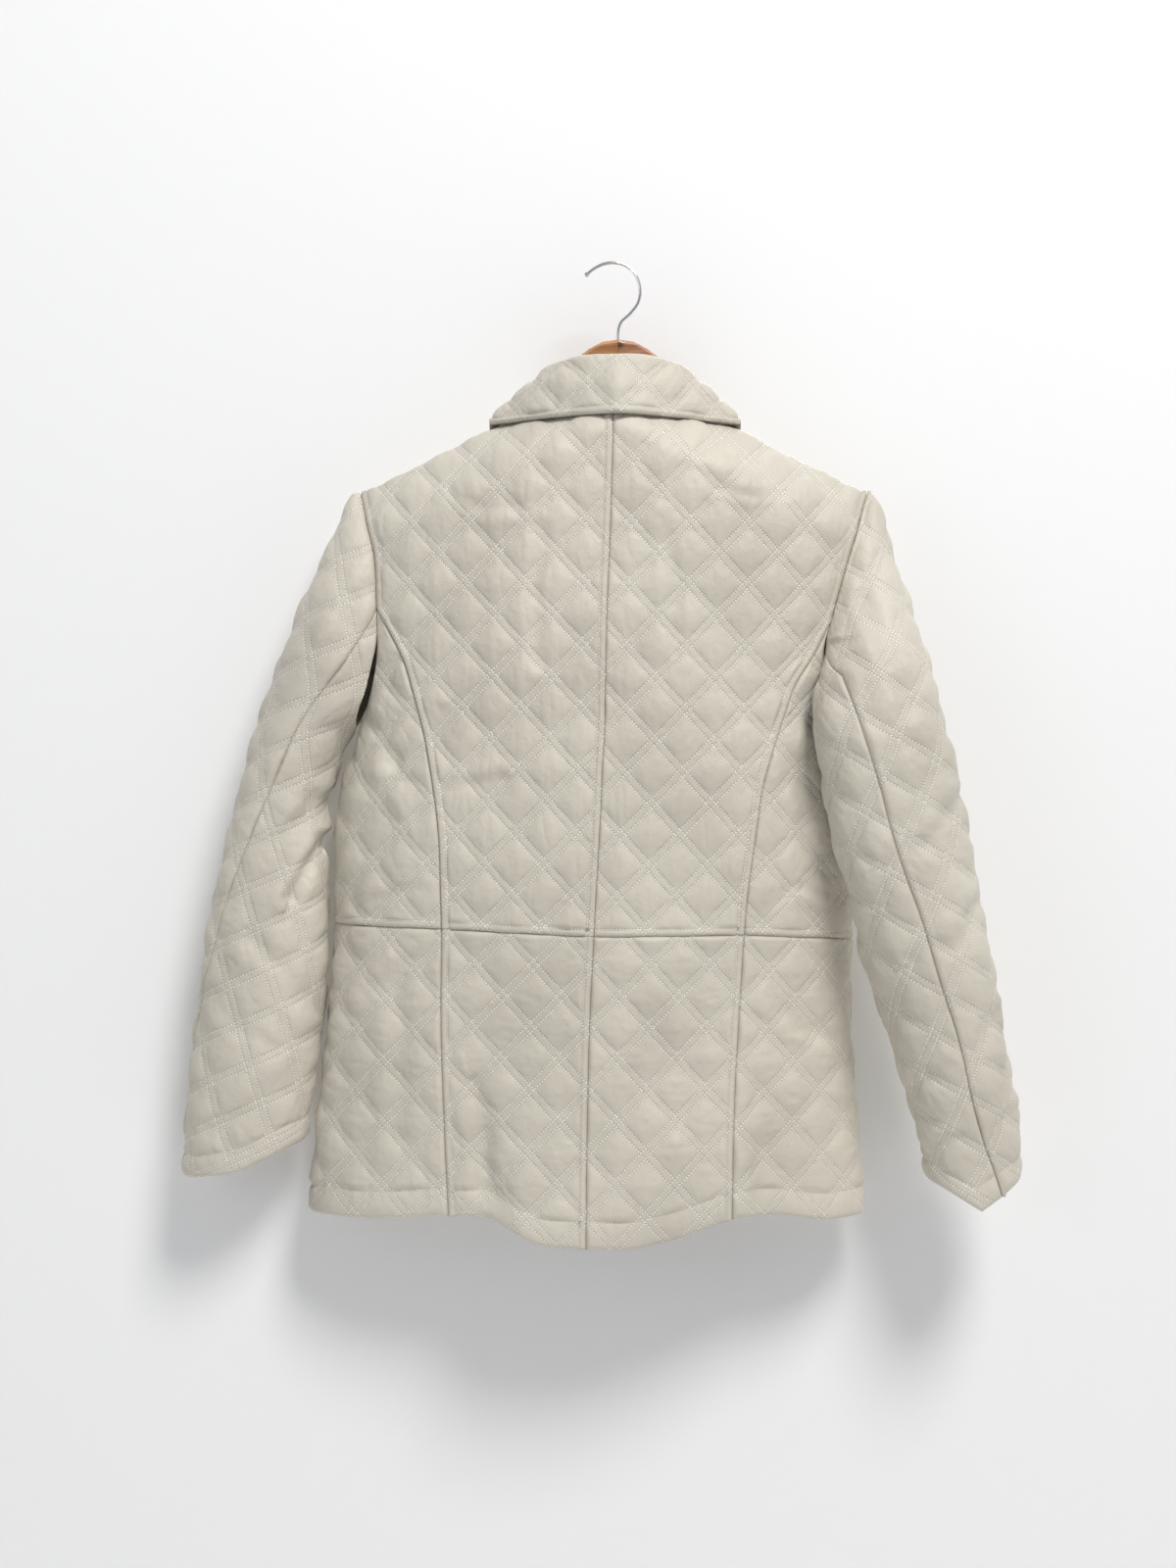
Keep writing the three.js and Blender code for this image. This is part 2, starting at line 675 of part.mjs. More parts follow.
function backUpperOutline(side) {
  const seam = side === LEFT ? LEFT_PANEL_SEAM : RIGHT_PANEL_SEAM;
  const waist = waistPoints(side);
  const rising = panelSeam(seam, seam[0].z, waist.panel.z + 1).reverse();
  return [
    { s: 0, z: NECK_Z },
    waist.middle,
    waist.panel,
    ...rising,
    ...armholePoints(side, true, ARMHOLE_TOP, seam[0].z + 6).reverse(),
    ...shoulderPoints(side, true),
  ];
}

function sideBackUpperOutline(side) {
  const seam = side === LEFT ? LEFT_PANEL_SEAM : RIGHT_PANEL_SEAM;
  const waist = waistPoints(side);
  return [
    ...panelSeam(seam, seam[0].z, waist.panel.z + 1),
    waist.panel,
    ...sideSeamRun(side, PIT_Z, waist.side.z).reverse(),
    ...armholePoints(side, true, seam[0].z - 6, ARMHOLE_LOW).reverse(),
  ];
}

function backLowerOutline(side) {
  const isLeft = side === LEFT;
  const seam = isLeft ? LEFT_PANEL_SEAM : RIGHT_PANEL_SEAM;
  const hem = isLeft ? HEM_LEFT : HEM_RIGHT;
  const waist = waistPoints(side);
  const seamX = seam[seam.length - 1].x;
  const inside = hem.filter(({ x }) => Math.abs(x) <= Math.abs(seamX));
  const ordered = isLeft ? inside.reverse() : inside;
  return [
    waist.middle,
    { s: 0, z: HEM_MIDDLE },
    ...ordered.map(({ x, z }) => onBody(x, z, true)),
    ...panelSeam(seam, waist.panel.z - 1, -800).reverse(),
    waist.panel,
  ];
}

function sideBackLowerOutline(side) {
  const isLeft = side === LEFT;
  const seam = isLeft ? LEFT_PANEL_SEAM : RIGHT_PANEL_SEAM;
  const hem = isLeft ? HEM_LEFT : HEM_RIGHT;
  const waist = waistPoints(side);
  const seamX = seam[seam.length - 1].x;
  const outside = hem.filter(({ x }) => Math.abs(x) >= Math.abs(seamX));
  const ordered = isLeft ? outside.reverse() : outside;
  return [
    waist.panel,
    ...panelSeam(seam, waist.panel.z - 1, -800),
    ...ordered.map(({ x, z }) => onBody(x, z, true)),
    ...sideSeamRun(side, waist.side.z, HEM_Z).reverse(),
  ];
}

function collarAngles() {
  return Array.from({ length: COLLAR_COLUMNS + 1 }, (_, i) => COLLAR_END * (2 * i / COLLAR_COLUMNS - 1));
}

function frontNecklineZ(x) {
  const share = Math.min(1, Math.abs(x) / NECK_HALF);
  return NECK_Z - FRONT_NECK_DROP * Math.sqrt(1 - share * share);
}

// The centre front lies half the ring away from the centre back.
function centreFront(side, z, beyond) {
  const { arc } = bodyRing(z);
  return { s: side.sign * (arc[arc.length - 1] + beyond), z };
}

function frontOutline(side) {
  const neck = collarAngles()
    .filter((angle) => angle > Math.PI / 2 + 0.02)
    .map((angle) => NECK_HALF * Math.sin(angle))
    .map((x) => onBody(side.sign * x, frontNecklineZ(x), false));
  const edge = [];
  for (const z of [NECK_Z - FRONT_NECK_DROP, ...FRONT_EDGE_ROWS, HEM_Z]) {
    edge.push(centreFront(side, z, OVERLAP));
  }
  const waistZ = waistPoints(side).side.z;
  return [
    ...edge,
    ...sideSeamRun(side, waistZ, HEM_Z).reverse(),
    ...sideSeamRun(side, PIT_Z, waistZ).reverse().slice(1),
    ...armholePoints(side, false, ARMHOLE_TOP, ARMHOLE_LOW).reverse(),
    ...shoulderPoints(side, false),
    ...neck,
  ];
}

// Under the closing edge the left front steps in by more than a pillow.
function leftFrontTuck(s, z) {
  const fromEdge = Math.abs(Math.abs(s) - Math.abs(centreFront(LEFT, z, 0).s));
  const isPast = Math.abs(s) > Math.abs(centreFront(LEFT, z, 0).s);
  const share = isPast ? 1 : 1 - smooth((fromEdge - TUCK_END) / (TUCK_START - TUCK_END));
  return TUCK_DEPTH * share;
}

function bodyPanels() {
  const upright = (s, z) => ({ s, z, turn: 0 });
  return [
    quiltPanel('back_upper_left', backUpperOutline(LEFT), upright(4.6, -311.6), bodySurface),
    quiltPanel('back_upper_right', backUpperOutline(RIGHT), upright(-7.4, -260.5), bodySurface),
    quiltPanel('side_back_upper_left', sideBackUpperOutline(LEFT), upright(-196, -525), bodySurface),
    quiltPanel('side_back_upper_right', sideBackUpperOutline(RIGHT), upright(144, -525), bodySurface),
    quiltPanel('back_lower_left', backLowerOutline(LEFT), upright(-75, -638), bodySurface),
    quiltPanel('back_lower_right', backLowerOutline(RIGHT), upright(75, -638), bodySurface),
    quiltPanel('side_back_lower_left', sideBackLowerOutline(LEFT), upright(-177, -590), bodySurface),
    quiltPanel('side_back_lower_right', sideBackLowerOutline(RIGHT), upright(177, -590), bodySurface),
    quiltPanel('front_left', frontOutline(LEFT), upright(-450, -311.6), bodySurface, leftFrontTuck),
    quiltPanel('front_right', frontOutline(RIGHT), FRONT_RIGHT_LATTICE, bodySurface),
  ];
}

// A place on the sleeve, with the distance counted from the middle of its back. The upper piece
// goes round the outer edge, so its places on the inner half of the front lie a whole ring on.
function onSleeve(side, x, z, isBack, isUpper = false) {
  const ring = ringTable(sleeveLevel(side, z), -Math.PI / 2);
  const s = distanceTo(ring, x, isBack);
  const whole = ring.arc[ring.arc.length - 1] - ring.arc[0];
  const goesOn = isUpper && !isBack && s * side.sign < 0;
  return { s: goesOn ? s + side.sign * whole : s, z };
}

// The sleeve stands clear of the body by a little more than a wall towards the pit.
function sleeveArmhole(side, isBack, fromZ, toZ, isUpper) {
  return heights(fromZ, toZ, FINE_STEP).map((z) => {
    const slack = ARMHOLE_EASE + PIT_SLACK * goingDown(z, SLACK_GROWS);
    const level = sleeveLevel(side, z);
    const coversBody = side === RIGHT && isBack && z < RIGHT_COVER_Z;
    const x = coversBody
      ? level.centre - level.half
      : armholeX(side, z, isBack) + side.sign * slack;
    return onSleeve(side, x, z, isBack, isUpper);
  });
}

function cuffPoint(side, share, isBack, isUpper) {
  const cuff = side === LEFT ? LEFT_CUFF : RIGHT_CUFF;
  const height = share < 0.5
    ? cuff.outer + (cuff.middle - cuff.outer) * share * 2
    : cuff.middle + (cuff.inner - cuff.middle) * (share - 0.5) * 2;
  const level = sleeveLevel(side, height);
  const x = level.centre + side.sign * level.half * (1 - 2 * share);
  return onSleeve(side, x, height, isBack, isUpper);
}

// The hidden seam leaves the front of the armhole and runs down the middle of the front.
function frontSeam(side, isUpper) {
  const cuff = side === LEFT ? LEFT_CUFF : RIGHT_CUFF;
  const top = armholeX(side, ARMHOLE_LOW, false) + side.sign * PIT_SLACK;
  const rows = [
    ...heights(ARMHOLE_LOW, FRONT_SEAM_BEND, FINEST_STEP),
    ...heights(FRONT_SEAM_BEND, cuff.middle + 4).slice(1),
  ];
  const first = sleeveLevel(side, ARMHOLE_LOW);
  const startShare = 1 - Math.abs(top - first.centre) / first.half;
  return rows.map((z) => {
    const level = sleeveLevel(side, z);
    const swing = Math.min(1, (ARMHOLE_LOW - z) / FRONT_SEAM_SWING.over) ** FRONT_SEAM_SWING.power;
    const share = startShare + (1 - startShare) * swing;
    const x = level.centre - side.sign * (level.half * (1 - share) + 0.01);
    const place = onSleeve(side, x, z, false, isUpper);
    return { s: place.s + (isUpper ? -side.sign * FRONT_SEAM_EASE : 0), z };
  });
}

function backSeam(side) {
  const seam = side === LEFT ? LEFT_SLEEVE_SEAM : RIGHT_SLEEVE_SEAM;
  return heights(seam[0].z, seam[seam.length - 1].z)
    .map((z) => onSleeve(side, lookUp(seam, z, 'x'), z, true));
}

function backSeamShare(side) {
  const cuff = side === LEFT ? LEFT_CUFF : RIGHT_CUFF;
  const level = sleeveLevel(side, -800);
  return (1 - (cuff.seamX - level.centre) * side.sign / level.half) / 2;
}

function sleevePiece(name, side, outline, turn) {
  return quiltPanel(name, outline, { s: 0, z: -500, turn }, sleeveSurface(side));
}

function sleeveUpper(name, side, turn) {
  const share = backSeamShare(side);
  const outline = [
    ...sleeveArmhole(side, true, ARMHOLE_TOP, side.seamTop, true),
    ...backSeam(side),
    cuffPoint(side, share, true, true),
    ...[0.3, 0.15].filter((part) => part < share - 0.05).map((part) => cuffPoint(side, part, true, true)),
    ...[0, 0.2, 0.4].map((part) => cuffPoint(side, part, false, true)),
    ...frontSeam(side, true).reverse(),
    ...sleeveArmhole(side, false, ARMHOLE_TOP, ARMHOLE_LOW, true).reverse().slice(1, -1),
  ];
  return sleevePiece(name, side, outline, turn);
}

function sleeveUnder(name, side, turn) {
  const share = backSeamShare(side);
  const outline = [
    ...backSeam(side).reverse(),
    ...sleeveArmhole(side, true, side.seamTop, ARMHOLE_LOW, false),
    onSleeve(side, sleeveLevel(side, PIT_Z).centre - side.sign * sleeveLevel(side, PIT_Z).half, PIT_Z, true),
    ...frontSeam(side, false),
    ...[0.6, 0.8].map((part) => cuffPoint(side, part, false, false)),
    ...[1, 0.85, 0.7, 0.5, 0.3].filter((part) => part > share + 0.05)
      .map((part) => cuffPoint(side, part, true, false)),
    cuffPoint(side, share, true, false),
  ];
  return sleevePiece(name, side, outline, turn);
}

function bodyDepth(x, z, isBack) {
  const swell = isBack ? hemSwell(x, z) : 0;
  return forward(x) + levelDepth(bodyLevel(z), x, isBack) * shoulderRoll(x, z) - swell;
}

// Moves a point of the collar's fall out from the panel that it lies on.
function keepClearOfBody(point, isBack) {
  if (point.z > shoulderLine(point.x)) return;
  const limit = bodyDepth(point.x, point.z, isBack) + (isBack ? -COLLAR_CLEAR : COLLAR_CLEAR);
  point.y = isBack ? Math.min(point.y, limit) : Math.max(point.y, limit);
}

// The collar's section at an angle round the neck: stand, roll and fall, as base and outward sides.
function collarSection(angle, column) {
  const across = Math.sin(angle);
  const deep = Math.cos(angle);
  const isBack = deep >= 0;
  const drop = isBack ? 0 : -deep;
  const neckX = NECK_HALF * across;
  const neckZ = isBack ? NECK_Z : frontNecklineZ(neckX);
  const neckSpot = onBody(neckX, neckZ, isBack);
  const neck = placeOn(bodySurface, neckSpot.s, neckZ, WALL);
  neck.z = Math.max(neck.z, neckZ) + SEAM_GAP + COLLAR_LIFT;
  const rollZ = COLLAR_ROLL.side + (isBack
    ? (COLLAR_ROLL.back - COLLAR_ROLL.side) * deep
    : (COLLAR_ROLL.front - COLLAR_ROLL.side) * drop ** ROLL_DROP_POWER);
  const rollDepth = isBack ? COLLAR_ROLL.behind : COLLAR_ROLL.before;
  const roll = new THREE.Vector3(COLLAR_ROLL.half * across, -rollDepth * deep, rollZ);
  const edgeX = COLLAR_EDGE.half * Math.sign(across) * Math.abs(across) ** EDGE_POWER;
  const edgeZ = isBack
    ? COLLAR_EDGE.side + (COLLAR_EDGE.back - COLLAR_EDGE.side) * deep
    : COLLAR_EDGE.side + (COLLAR_EDGE.front - COLLAR_EDGE.side) * drop ** EDGE_POWER;
  const spotZ = Math.min(edgeZ, shoulderLine(edgeX) - 0.1);
  const spot = onBody(edgeX, spotZ, isBack);
  const edge = bodySurface(spot.s, spotZ);
  const tilt = Math.abs(deep) ** 0.5;
  edge.y -= Math.sign(deep) * COLLAR_CLEAR * tilt;
  edge.z = edgeZ + COLLAR_CLEAR * (1 - tilt);
  const outward = new THREE.Vector3(edge.x - neck.x, edge.y - neck.y, 0).normalize();
  const up = new THREE.Vector3(0, 0, 1);
  const fold = roll.clone().addScaledVector(outward, COLLAR_FOLD);
  const fallMiddle = fold.clone().lerp(edge, 0.5).addScaledVector(outward, COLLAR_BULGE);
  for (const point of [fold, fallMiddle]) keepClearOfBody(point, isBack);
  const fallOut = outward.clone().multiplyScalar(fold.z - edge.z)
    .addScaledVector(up, edge.clone().sub(fold).dot(outward)).normalize();
  const base = [
    neck,
    roll.clone().addScaledVector(outward, -COLLAR_FOLD),
    roll.clone().addScaledVector(up, COLLAR_FOLD),
    fold,
    fallMiddle,
    edge,
  ];
  const isMiddle = column % 2 === 0;
  const outer = [
    base[0].clone().addScaledVector(outward, -WALL),
    base[1].clone().addScaledVector(outward, -WALL),
    base[2].clone().addScaledVector(up, WALL),
    base[3].clone().addScaledVector(fallOut, WALL),
    base[4].clone().addScaledVector(fallOut, isMiddle ? WALL + PILLOW : WALL),
    base[5].clone().addScaledVector(fallOut, WALL),
  ];
  return { base, outer };
}

function collar() {
  const sections = collarAngles().map(collarSection);
  const rows = sections[0].base.length;
  const pick = (layer, row) => sections.map((section) => section[layer][row]);
  const inner = [];
  const outer = [];
  for (let row = 0; row < rows; row += 1) {
    inner.push(pick('base', row));
    outer.push(pick('outer', row));
  }
  const wall = closedWall(outer, inner, (row, column) => (row + column) % 2 !== 0);
  return namedMesh('collar', wall, CLOTH);
}

// How far a quilted layer rises at a place: nothing on a stitch line, a pillow mid-diamond.
function quiltRise(lattice, s, z) {
  const across = (s - lattice.s) / (DIAMOND_WIDE / 2);
  const up = (z - lattice.z) / (DIAMOND_TALL / 2);
  const fromOdd = (value) => Math.abs(value - 2 * Math.floor(value / 2) - 1);
  return PILLOW * (1 - Math.max(fromOdd(across + up), fromOdd(across - up)));
}

// The front-most point of the quilting under a button.
function frontMostUnder(s, z) {
  let most = -Infinity;
  for (const radius of [0, BUTTON_RADIUS / 2, BUTTON_RADIUS]) {
    for (let turn = 0; turn < 2 * Math.PI; turn += Math.PI / 8) {
      const atS = s + radius * Math.cos(turn);
      const atZ = z + radius * Math.sin(turn);
      const out = WALL + quiltRise(FRONT_RIGHT_LATTICE, atS, atZ);
      most = Math.max(most, placeOn(bodySurface, atS, atZ, out).y);
    }
  }
  return most;
}

function button(name, z) {
  const profile = [
    new THREE.Vector2(0, 0),
    new THREE.Vector2(BUTTON_RADIUS - 1, 0),
    new THREE.Vector2(BUTTON_RADIUS, BUTTON_THICK / 2),
    new THREE.Vector2(BUTTON_RADIUS - 1, BUTTON_THICK),
    new THREE.Vector2(BUTTON_RADIUS - 3, BUTTON_THICK - 0.8),
    new THREE.Vector2(0, BUTTON_THICK - 0.8),
  ];
  const lathe = new THREE.LatheGeometry(profile, 16);
  const spot = centreFront(RIGHT, z, 0);
  const base = bodySurface(spot.s, z);
  lathe.translate(base.x, frontMostUnder(spot.s, z) + SEAM_GAP, z);
  return namedMesh(name, toGeometry(toManifold(lathe)), BUTTON);
}

function armSection(row, sign) {
  const x = HANGER_MIDDLE + sign * row.x;
  const halfThick = row.thick / 2;
  const bevel = 3;
  const top = row.top;
  const bottom = row.top - row.tall;
  const middle = forward(row.x);
  return [
    new THREE.Vector3(x, middle - halfThick + bevel, top),
    new THREE.Vector3(x, middle + halfThick - bevel, top),
    new THREE.Vector3(x, middle + halfThick, top - bevel),
    new THREE.Vector3(x, middle + halfThick, bottom + bevel),
    new THREE.Vector3(x, middle + halfThick - bevel, bottom),
    new THREE.Vector3(x, middle - halfThick + bevel, bottom),
    new THREE.Vector3(x, middle - halfThick, bottom + bevel),
    new THREE.Vector3(x, middle - halfThick, top - bevel),
  ];
}

function hangerArm(name, sign) {
  const sections = HANGER_ARM.map((row) => armSection(row, sign));
  const count = sections[0].length;
  const positions = [];
  for (const section of sections) {
    for (const point of section) positions.push(point.x, point.y, point.z);
  }
  const faces = [];
  const push = (a, b, c) => faces.push(...(sign > 0 ? [a, c, b] : [a, b, c]));
  for (let row = 0; row + 1 < sections.length; row += 1) {
    for (let i = 0; i < count; i += 1) {
      const next = (i + 1) % count;
      const a = row * count + i;
      const b = row * count + next;
      const c = (row + 1) * count + next;
      const d = (row + 1) * count + i;
      push(a, b, c);
      push(a, c, d);
    }
  }
  const last = (sections.length - 1) * count;
  for (let i = 1; i + 1 < count; i += 1) {
    push(0, i + 1, i);
    push(last, last + i, last + i + 1);
  }
  const geometry = new THREE.BufferGeometry();
  geometry.setAttribute('position', new THREE.Float32BufferAttribute(positions, 3));
  geometry.setIndex(faces);
  const hole = new THREE.CylinderGeometry(STEM_HOLE.radius, STEM_HOLE.radius, 2 * STEM_HOLE.depth, 16);
  hole.rotateX(Math.PI / 2);
  hole.translate(HANGER_MIDDLE, 0, HANGER_ARM[0].top);
  return namedMesh(name, toGeometry(toManifold(geometry).subtract(toManifold(hole))), WOOD);
}

function hangerHook() {
  const path = new THREE.CatmullRomCurve3(HOOK_PATH.map(({ x, z }) => new THREE.Vector3(x, 0, z)));
  const round = new THREE.Shape();
  round.absarc(0, 0, WIRE_RADIUS, 0, 2 * Math.PI);
  const wire = new THREE.ExtrudeGeometry(round, {
    steps: 30,
    curveSegments: 5,
    extrudePath: path,
    bevelEnabled: false,
  });
  const ball = new THREE.SphereGeometry(BALL_RADIUS, 14, 8);
  ball.translate(HOOK_PATH[0].x, 0, HOOK_PATH[0].z);
  return namedMesh('hanger_hook', toGeometry(toManifold(wire).add(toManifold(ball))), STEEL);
}

const jacket = new THREE.Group();
jacket.name = 'quilted_jacket';
jacket.add(...bodyPanels());
jacket.add(sleeveUpper('sleeve_left_upper', LEFT, -0.38));
jacket.add(sleeveUnder('sleeve_left_under', LEFT, -0.38));
jacket.add(sleeveUpper('sleeve_right_upper', RIGHT, 0.22));
jacket.add(sleeveUnder('sleeve_right_under', RIGHT, 0.22));
jacket.add(collar());
BUTTON_ROWS.forEach((z, index) => jacket.add(button(`button_${index + 1}`, z)));
jacket.add(hangerArm('hanger_arm_left', -1));
jacket.add(hangerArm('hanger_arm_right', 1));
jacket.add(hangerHook());

export default jacket;
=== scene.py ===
# Quilted jacket on a wooden hanger, seen from the back. Millimetres until a mesh is made.
import json
import math
import bpy
import numpy as np
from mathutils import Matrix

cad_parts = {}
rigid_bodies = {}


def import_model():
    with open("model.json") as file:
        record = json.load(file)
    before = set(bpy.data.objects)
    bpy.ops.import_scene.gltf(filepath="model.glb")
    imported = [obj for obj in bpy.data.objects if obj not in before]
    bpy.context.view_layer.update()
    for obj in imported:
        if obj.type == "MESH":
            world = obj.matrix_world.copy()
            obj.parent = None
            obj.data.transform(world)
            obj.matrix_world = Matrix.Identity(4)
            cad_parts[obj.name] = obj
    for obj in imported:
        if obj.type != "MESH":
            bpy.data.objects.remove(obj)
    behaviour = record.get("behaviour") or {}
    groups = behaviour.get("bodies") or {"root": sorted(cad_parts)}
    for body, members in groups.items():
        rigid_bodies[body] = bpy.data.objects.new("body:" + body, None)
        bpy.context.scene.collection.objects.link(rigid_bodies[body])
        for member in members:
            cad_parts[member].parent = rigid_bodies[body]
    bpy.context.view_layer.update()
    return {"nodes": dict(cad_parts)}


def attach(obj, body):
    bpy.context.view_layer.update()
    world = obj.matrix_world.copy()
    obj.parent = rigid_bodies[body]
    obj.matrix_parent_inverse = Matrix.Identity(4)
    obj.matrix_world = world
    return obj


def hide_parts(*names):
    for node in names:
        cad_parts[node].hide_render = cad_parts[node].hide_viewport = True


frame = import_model()


def table(columns, rows):
    data = np.array(rows, float)
    return {name: data[:, i] for i, name in enumerate(columns.split())}


# Shared shape of the cloth
cloth = {
    "wall": 2.0,
    "pillow": 3.5,
    "diamondWide": 50.4,
    "diamondTall": 53.3,
    "doubleHalf": 3.1,
    "channel": 0.35,
    "step": 2.0,
    "frontStep": 2.3,
    "innerEvery": 4,
}
cloth["lineUnit"] = 1 / math.hypot(2 / cloth["diamondWide"], 2 / cloth["diamondTall"])

shoulder = {
    "neckHalf": 72, "neckZ": -128.5, "frontDrop": 46,
    "slope": 0.48, "roll": 60, "tip": 225, "forward": 14,
}

body = table("z centre half back front", [
    (-80, -1, 222, 58, 38),
    (-200, -4, 231, 62, 42),
    (-260, -6, 226, 64, 44),
    (-307, -8, 222, 66, 45),
    (-380, -9.5, 216, 66, 46),
    (-412, -10, 213, 66, 46),
    (-445, -12, 222, 66, 45),
    (-474, -13, 230, 65, 44),
    (-583, -19, 226, 62, 41),
    (-669, -23, 228.5, 58, 38),
    (-760, -25, 237, 55, 36),
    (-860, -26, 245, 52, 34),
])
bodyPowers = {"back": 2.4, "front": 2.8}

sleeveColumns = "z outer inner middle back front"
left = {
    "sign": -1,
    "seamTop": -307,
    "turn": -0.38,
    "rows": table(sleeveColumns, [
        (-200, -229, -221, 13, 5, 5),
        (-222, -240, -205, 12, 19, 17),
        (-251, -252, -195, 10, 33, 30),
        (-297, -273, -194, 8, 41, 36),
        (-331, -286, -194, 8, 43, 37),
        (-381, -304.5, -203, 9, 43, 37),
        (-410, -314, -234, 10, 42, 36),
        (-440, -323.5, -246, 12, 40, 36),
        (-475, -333, -256, 14, 38, 36),
        (-558, -352.5, -256, 16, 37, 36),
        (-608, -361, -258, 16, 37, 36),
        (-659, -367, -262, 16, 37, 36),
        (-709, -373.5, -268, 15, 36, 35),
        (-760, -378, -275, 14, 35, 34),
        (-830, -379, -282, 14, 34, 34),
    ]),
    "armhole": table("z behind before", [
        (-202, -225, -225),
        (-227, -218.5, -215),
        (-258, -210, -204),
        (-307, -207.5, -205),
        (-344, -207.5, -206),
        (-380, -213, -212),
        (-398, -219, -219),
    ]),
    "panel": table("z x", [
        (-305.8, -207.5),
        (-331.8, -191.5),
        (-352.8, -181.4),
        (-378, -173.9),
        (-409, -165.5),
        (-440, -159.6),
        (-471, -154.6),
        (-504, -151.2),
        (-547.7, -149.9),
        (-581, -149.1),
        (-655, -149.9),
        (-734, -147.8),
        (-828, -143.6),
    ]),
    "sleeveSeam": table("z x", [
        (-352.8, -235),
        (-402, -271),
        (-450, -294),
        (-500, -315.8),
        (-548, -335),
        (-595, -349.4),
        (-643, -361),
        (-687, -369),
        (-734, -375.4),
    ]),
    "cuff": {"outer": -803, "middle": -795, "inner": -769, "seamX": -378},
    "hemEndX": -214,
    "waist": {"panel": -581, "side": -579},
    "hem": [(-245, -834), (-215, -834), (-180, -831), (-143.6, -828), (-108, -828), (-66, -850), (-22, -852)],
}
right = {
    "sign": 1,
    "seamTop": -344,
    "turn": 0.22,
    "rows": table(sleeveColumns, [
        (-200, 227, 218, 13, 5, 5),
        (-218, 234, 200, 12, 17, 16),
        (-241, 240, 190, 10, 30, 28),
        (-260, 243.5, 186, 8, 37, 33),
        (-300, 254.5, 180, -6, 42, 36),
        (-333, 262, 182, -26, 44, 38),
        (-346, 265.5, 180.5, -37.5, 43, 36),
        (-380, 273, 173, -50, 42, 34),
        (-410, 278.5, 170, -58, 40, 29),
        (-433, 285, 176, -58, 40, 28),
        (-467, 291, 181, -56, 40, 28),
        (-508, 299.5, 189, -54, 40, 28),
        (-573, 311.5, 207.5, -50, 40, 29),
        (-612, 320, 216, -47, 40, 30),
        (-658, 328.5, 232, -43, 38, 32),
        (-699, 336, 245.5, -38, 37, 33),
        (-760, 346, 264.5, -32, 35, 33),
        (-830, 345, 278, -28, 33, 32),
    ]),
    "armhole": table("z behind before", [
        (-202, 223, 223),
        (-227, 214.5, 213),
        (-258, 203.5, 201),
        (-307, 189, 194),
        (-344, 180, 192),
        (-380, 186, 196),
        (-398, 196, 203),
    ]),
    "panel": table("z x", [
        (-316.7, 186.6),
        (-331.8, 178.5),
        (-347.8, 169.5),
        (-367.9, 155.4),
        (-394, 145.3),
        (-425, 135.2),
        (-455, 126),
        (-486, 121),
        (-522.5, 115.9),
        (-553.6, 111.7),
        (-586, 109.2),
        (-640, 105.8),
        (-742.6, 100.4),
        (-828, 98.3),
    ]),
    "sleeveSeam": table("z x", [
        (-366, 190.7),
        (-411, 205),
        (-455, 219),
        (-497, 230),
        (-531, 241),
        (-570, 255.4),
        (-614, 268.8),
        (-675, 289),
        (-730, 302.4),
        (-764, 312.5),
    ]),
    "cuff": {"outer": -797, "middle": -821, "inner": -797, "seamX": 328},
    "hemEndX": 190,
    "waist": {"panel": -586, "side": -593},
    "hem": [(-22, -852), (14, -853), (53, -844), (98.3, -828), (135, -828), (185, -836), (235, -834)],
}
sleevePowers = {"back": 2.1, "front": 2.1}
armhole = {
    "top": -202, "low": -398, "pit": -410, "slack": 8, "ease": 0.1, "slackGrows": (-325, 60),
    "middleY": 12, "middleZ": -300, "halfDeep": 40, "halfTall": 100,
    "pullFades": (-350, 55), "coverPullFades": (-330, 12), "coversBelow": -340, "pullReach": (8, 60),
    "leanFades": (-345, 40), "leanEnds": (-410, 60), "leanWidth": 25,
}
hem = {
    "z": -834, "middle": -852, "middleX": -22, "panelZ": -828, "band": 23,
    "swell": 14, "swellGrows": (-690, 140), "swellLeft": -118, "swellRight": 100, "swellFades": 40,
}
waistMiddle = -587


def smooth(share):
    t = np.clip(share, 0, 1)
    return t * t * (3 - 2 * t)


# From 0 to 1 over a drop in height that begins at start
def goingDown(z, start, over):
    return smooth((start - z) / over)


def bell(distance, width):
    return np.exp(-(distance / width) ** 2)


def lookUp(rows, z, column):
    zs, values = rows["z"], rows[column]
    z = np.clip(z, zs[-1], zs[0])
    k = np.clip(np.searchsorted(-zs, -np.asarray(z, float), side="right") - 1, 0, len(zs) - 2)
    here = np.arange(len(zs))
    above, below = np.maximum(here - 1, 0), np.minimum(here + 1, len(zs) - 1)
    slope = (values[below] - values[above]) / (zs[above] - zs[below])
    step = zs[k] - zs[k + 1]
    t = (zs[k] - z) / step
    t2, t3 = t * t, t * t * t
    return (values[k] * (2 * t3 - 3 * t2 + 1) + slope[k] * step * (t3 - 2 * t2 + t)
            + values[k + 1] * (3 * t2 - 2 * t3) + slope[k + 1] * step * (t3 - t2))


def forward(x):
    return shoulder["forward"] * np.minimum(1.4, (x / shoulder["tip"]) ** 2)


def shoulderLine(x):
    return shoulder["neckZ"] - shoulder["slope"] * (np.abs(x) - shoulder["neckHalf"])


def shoulderRoll(x, z):
    return np.sin(math.pi / 2 * np.clip((shoulderLine(x) - z) / shoulder["roll"], 0, 1))


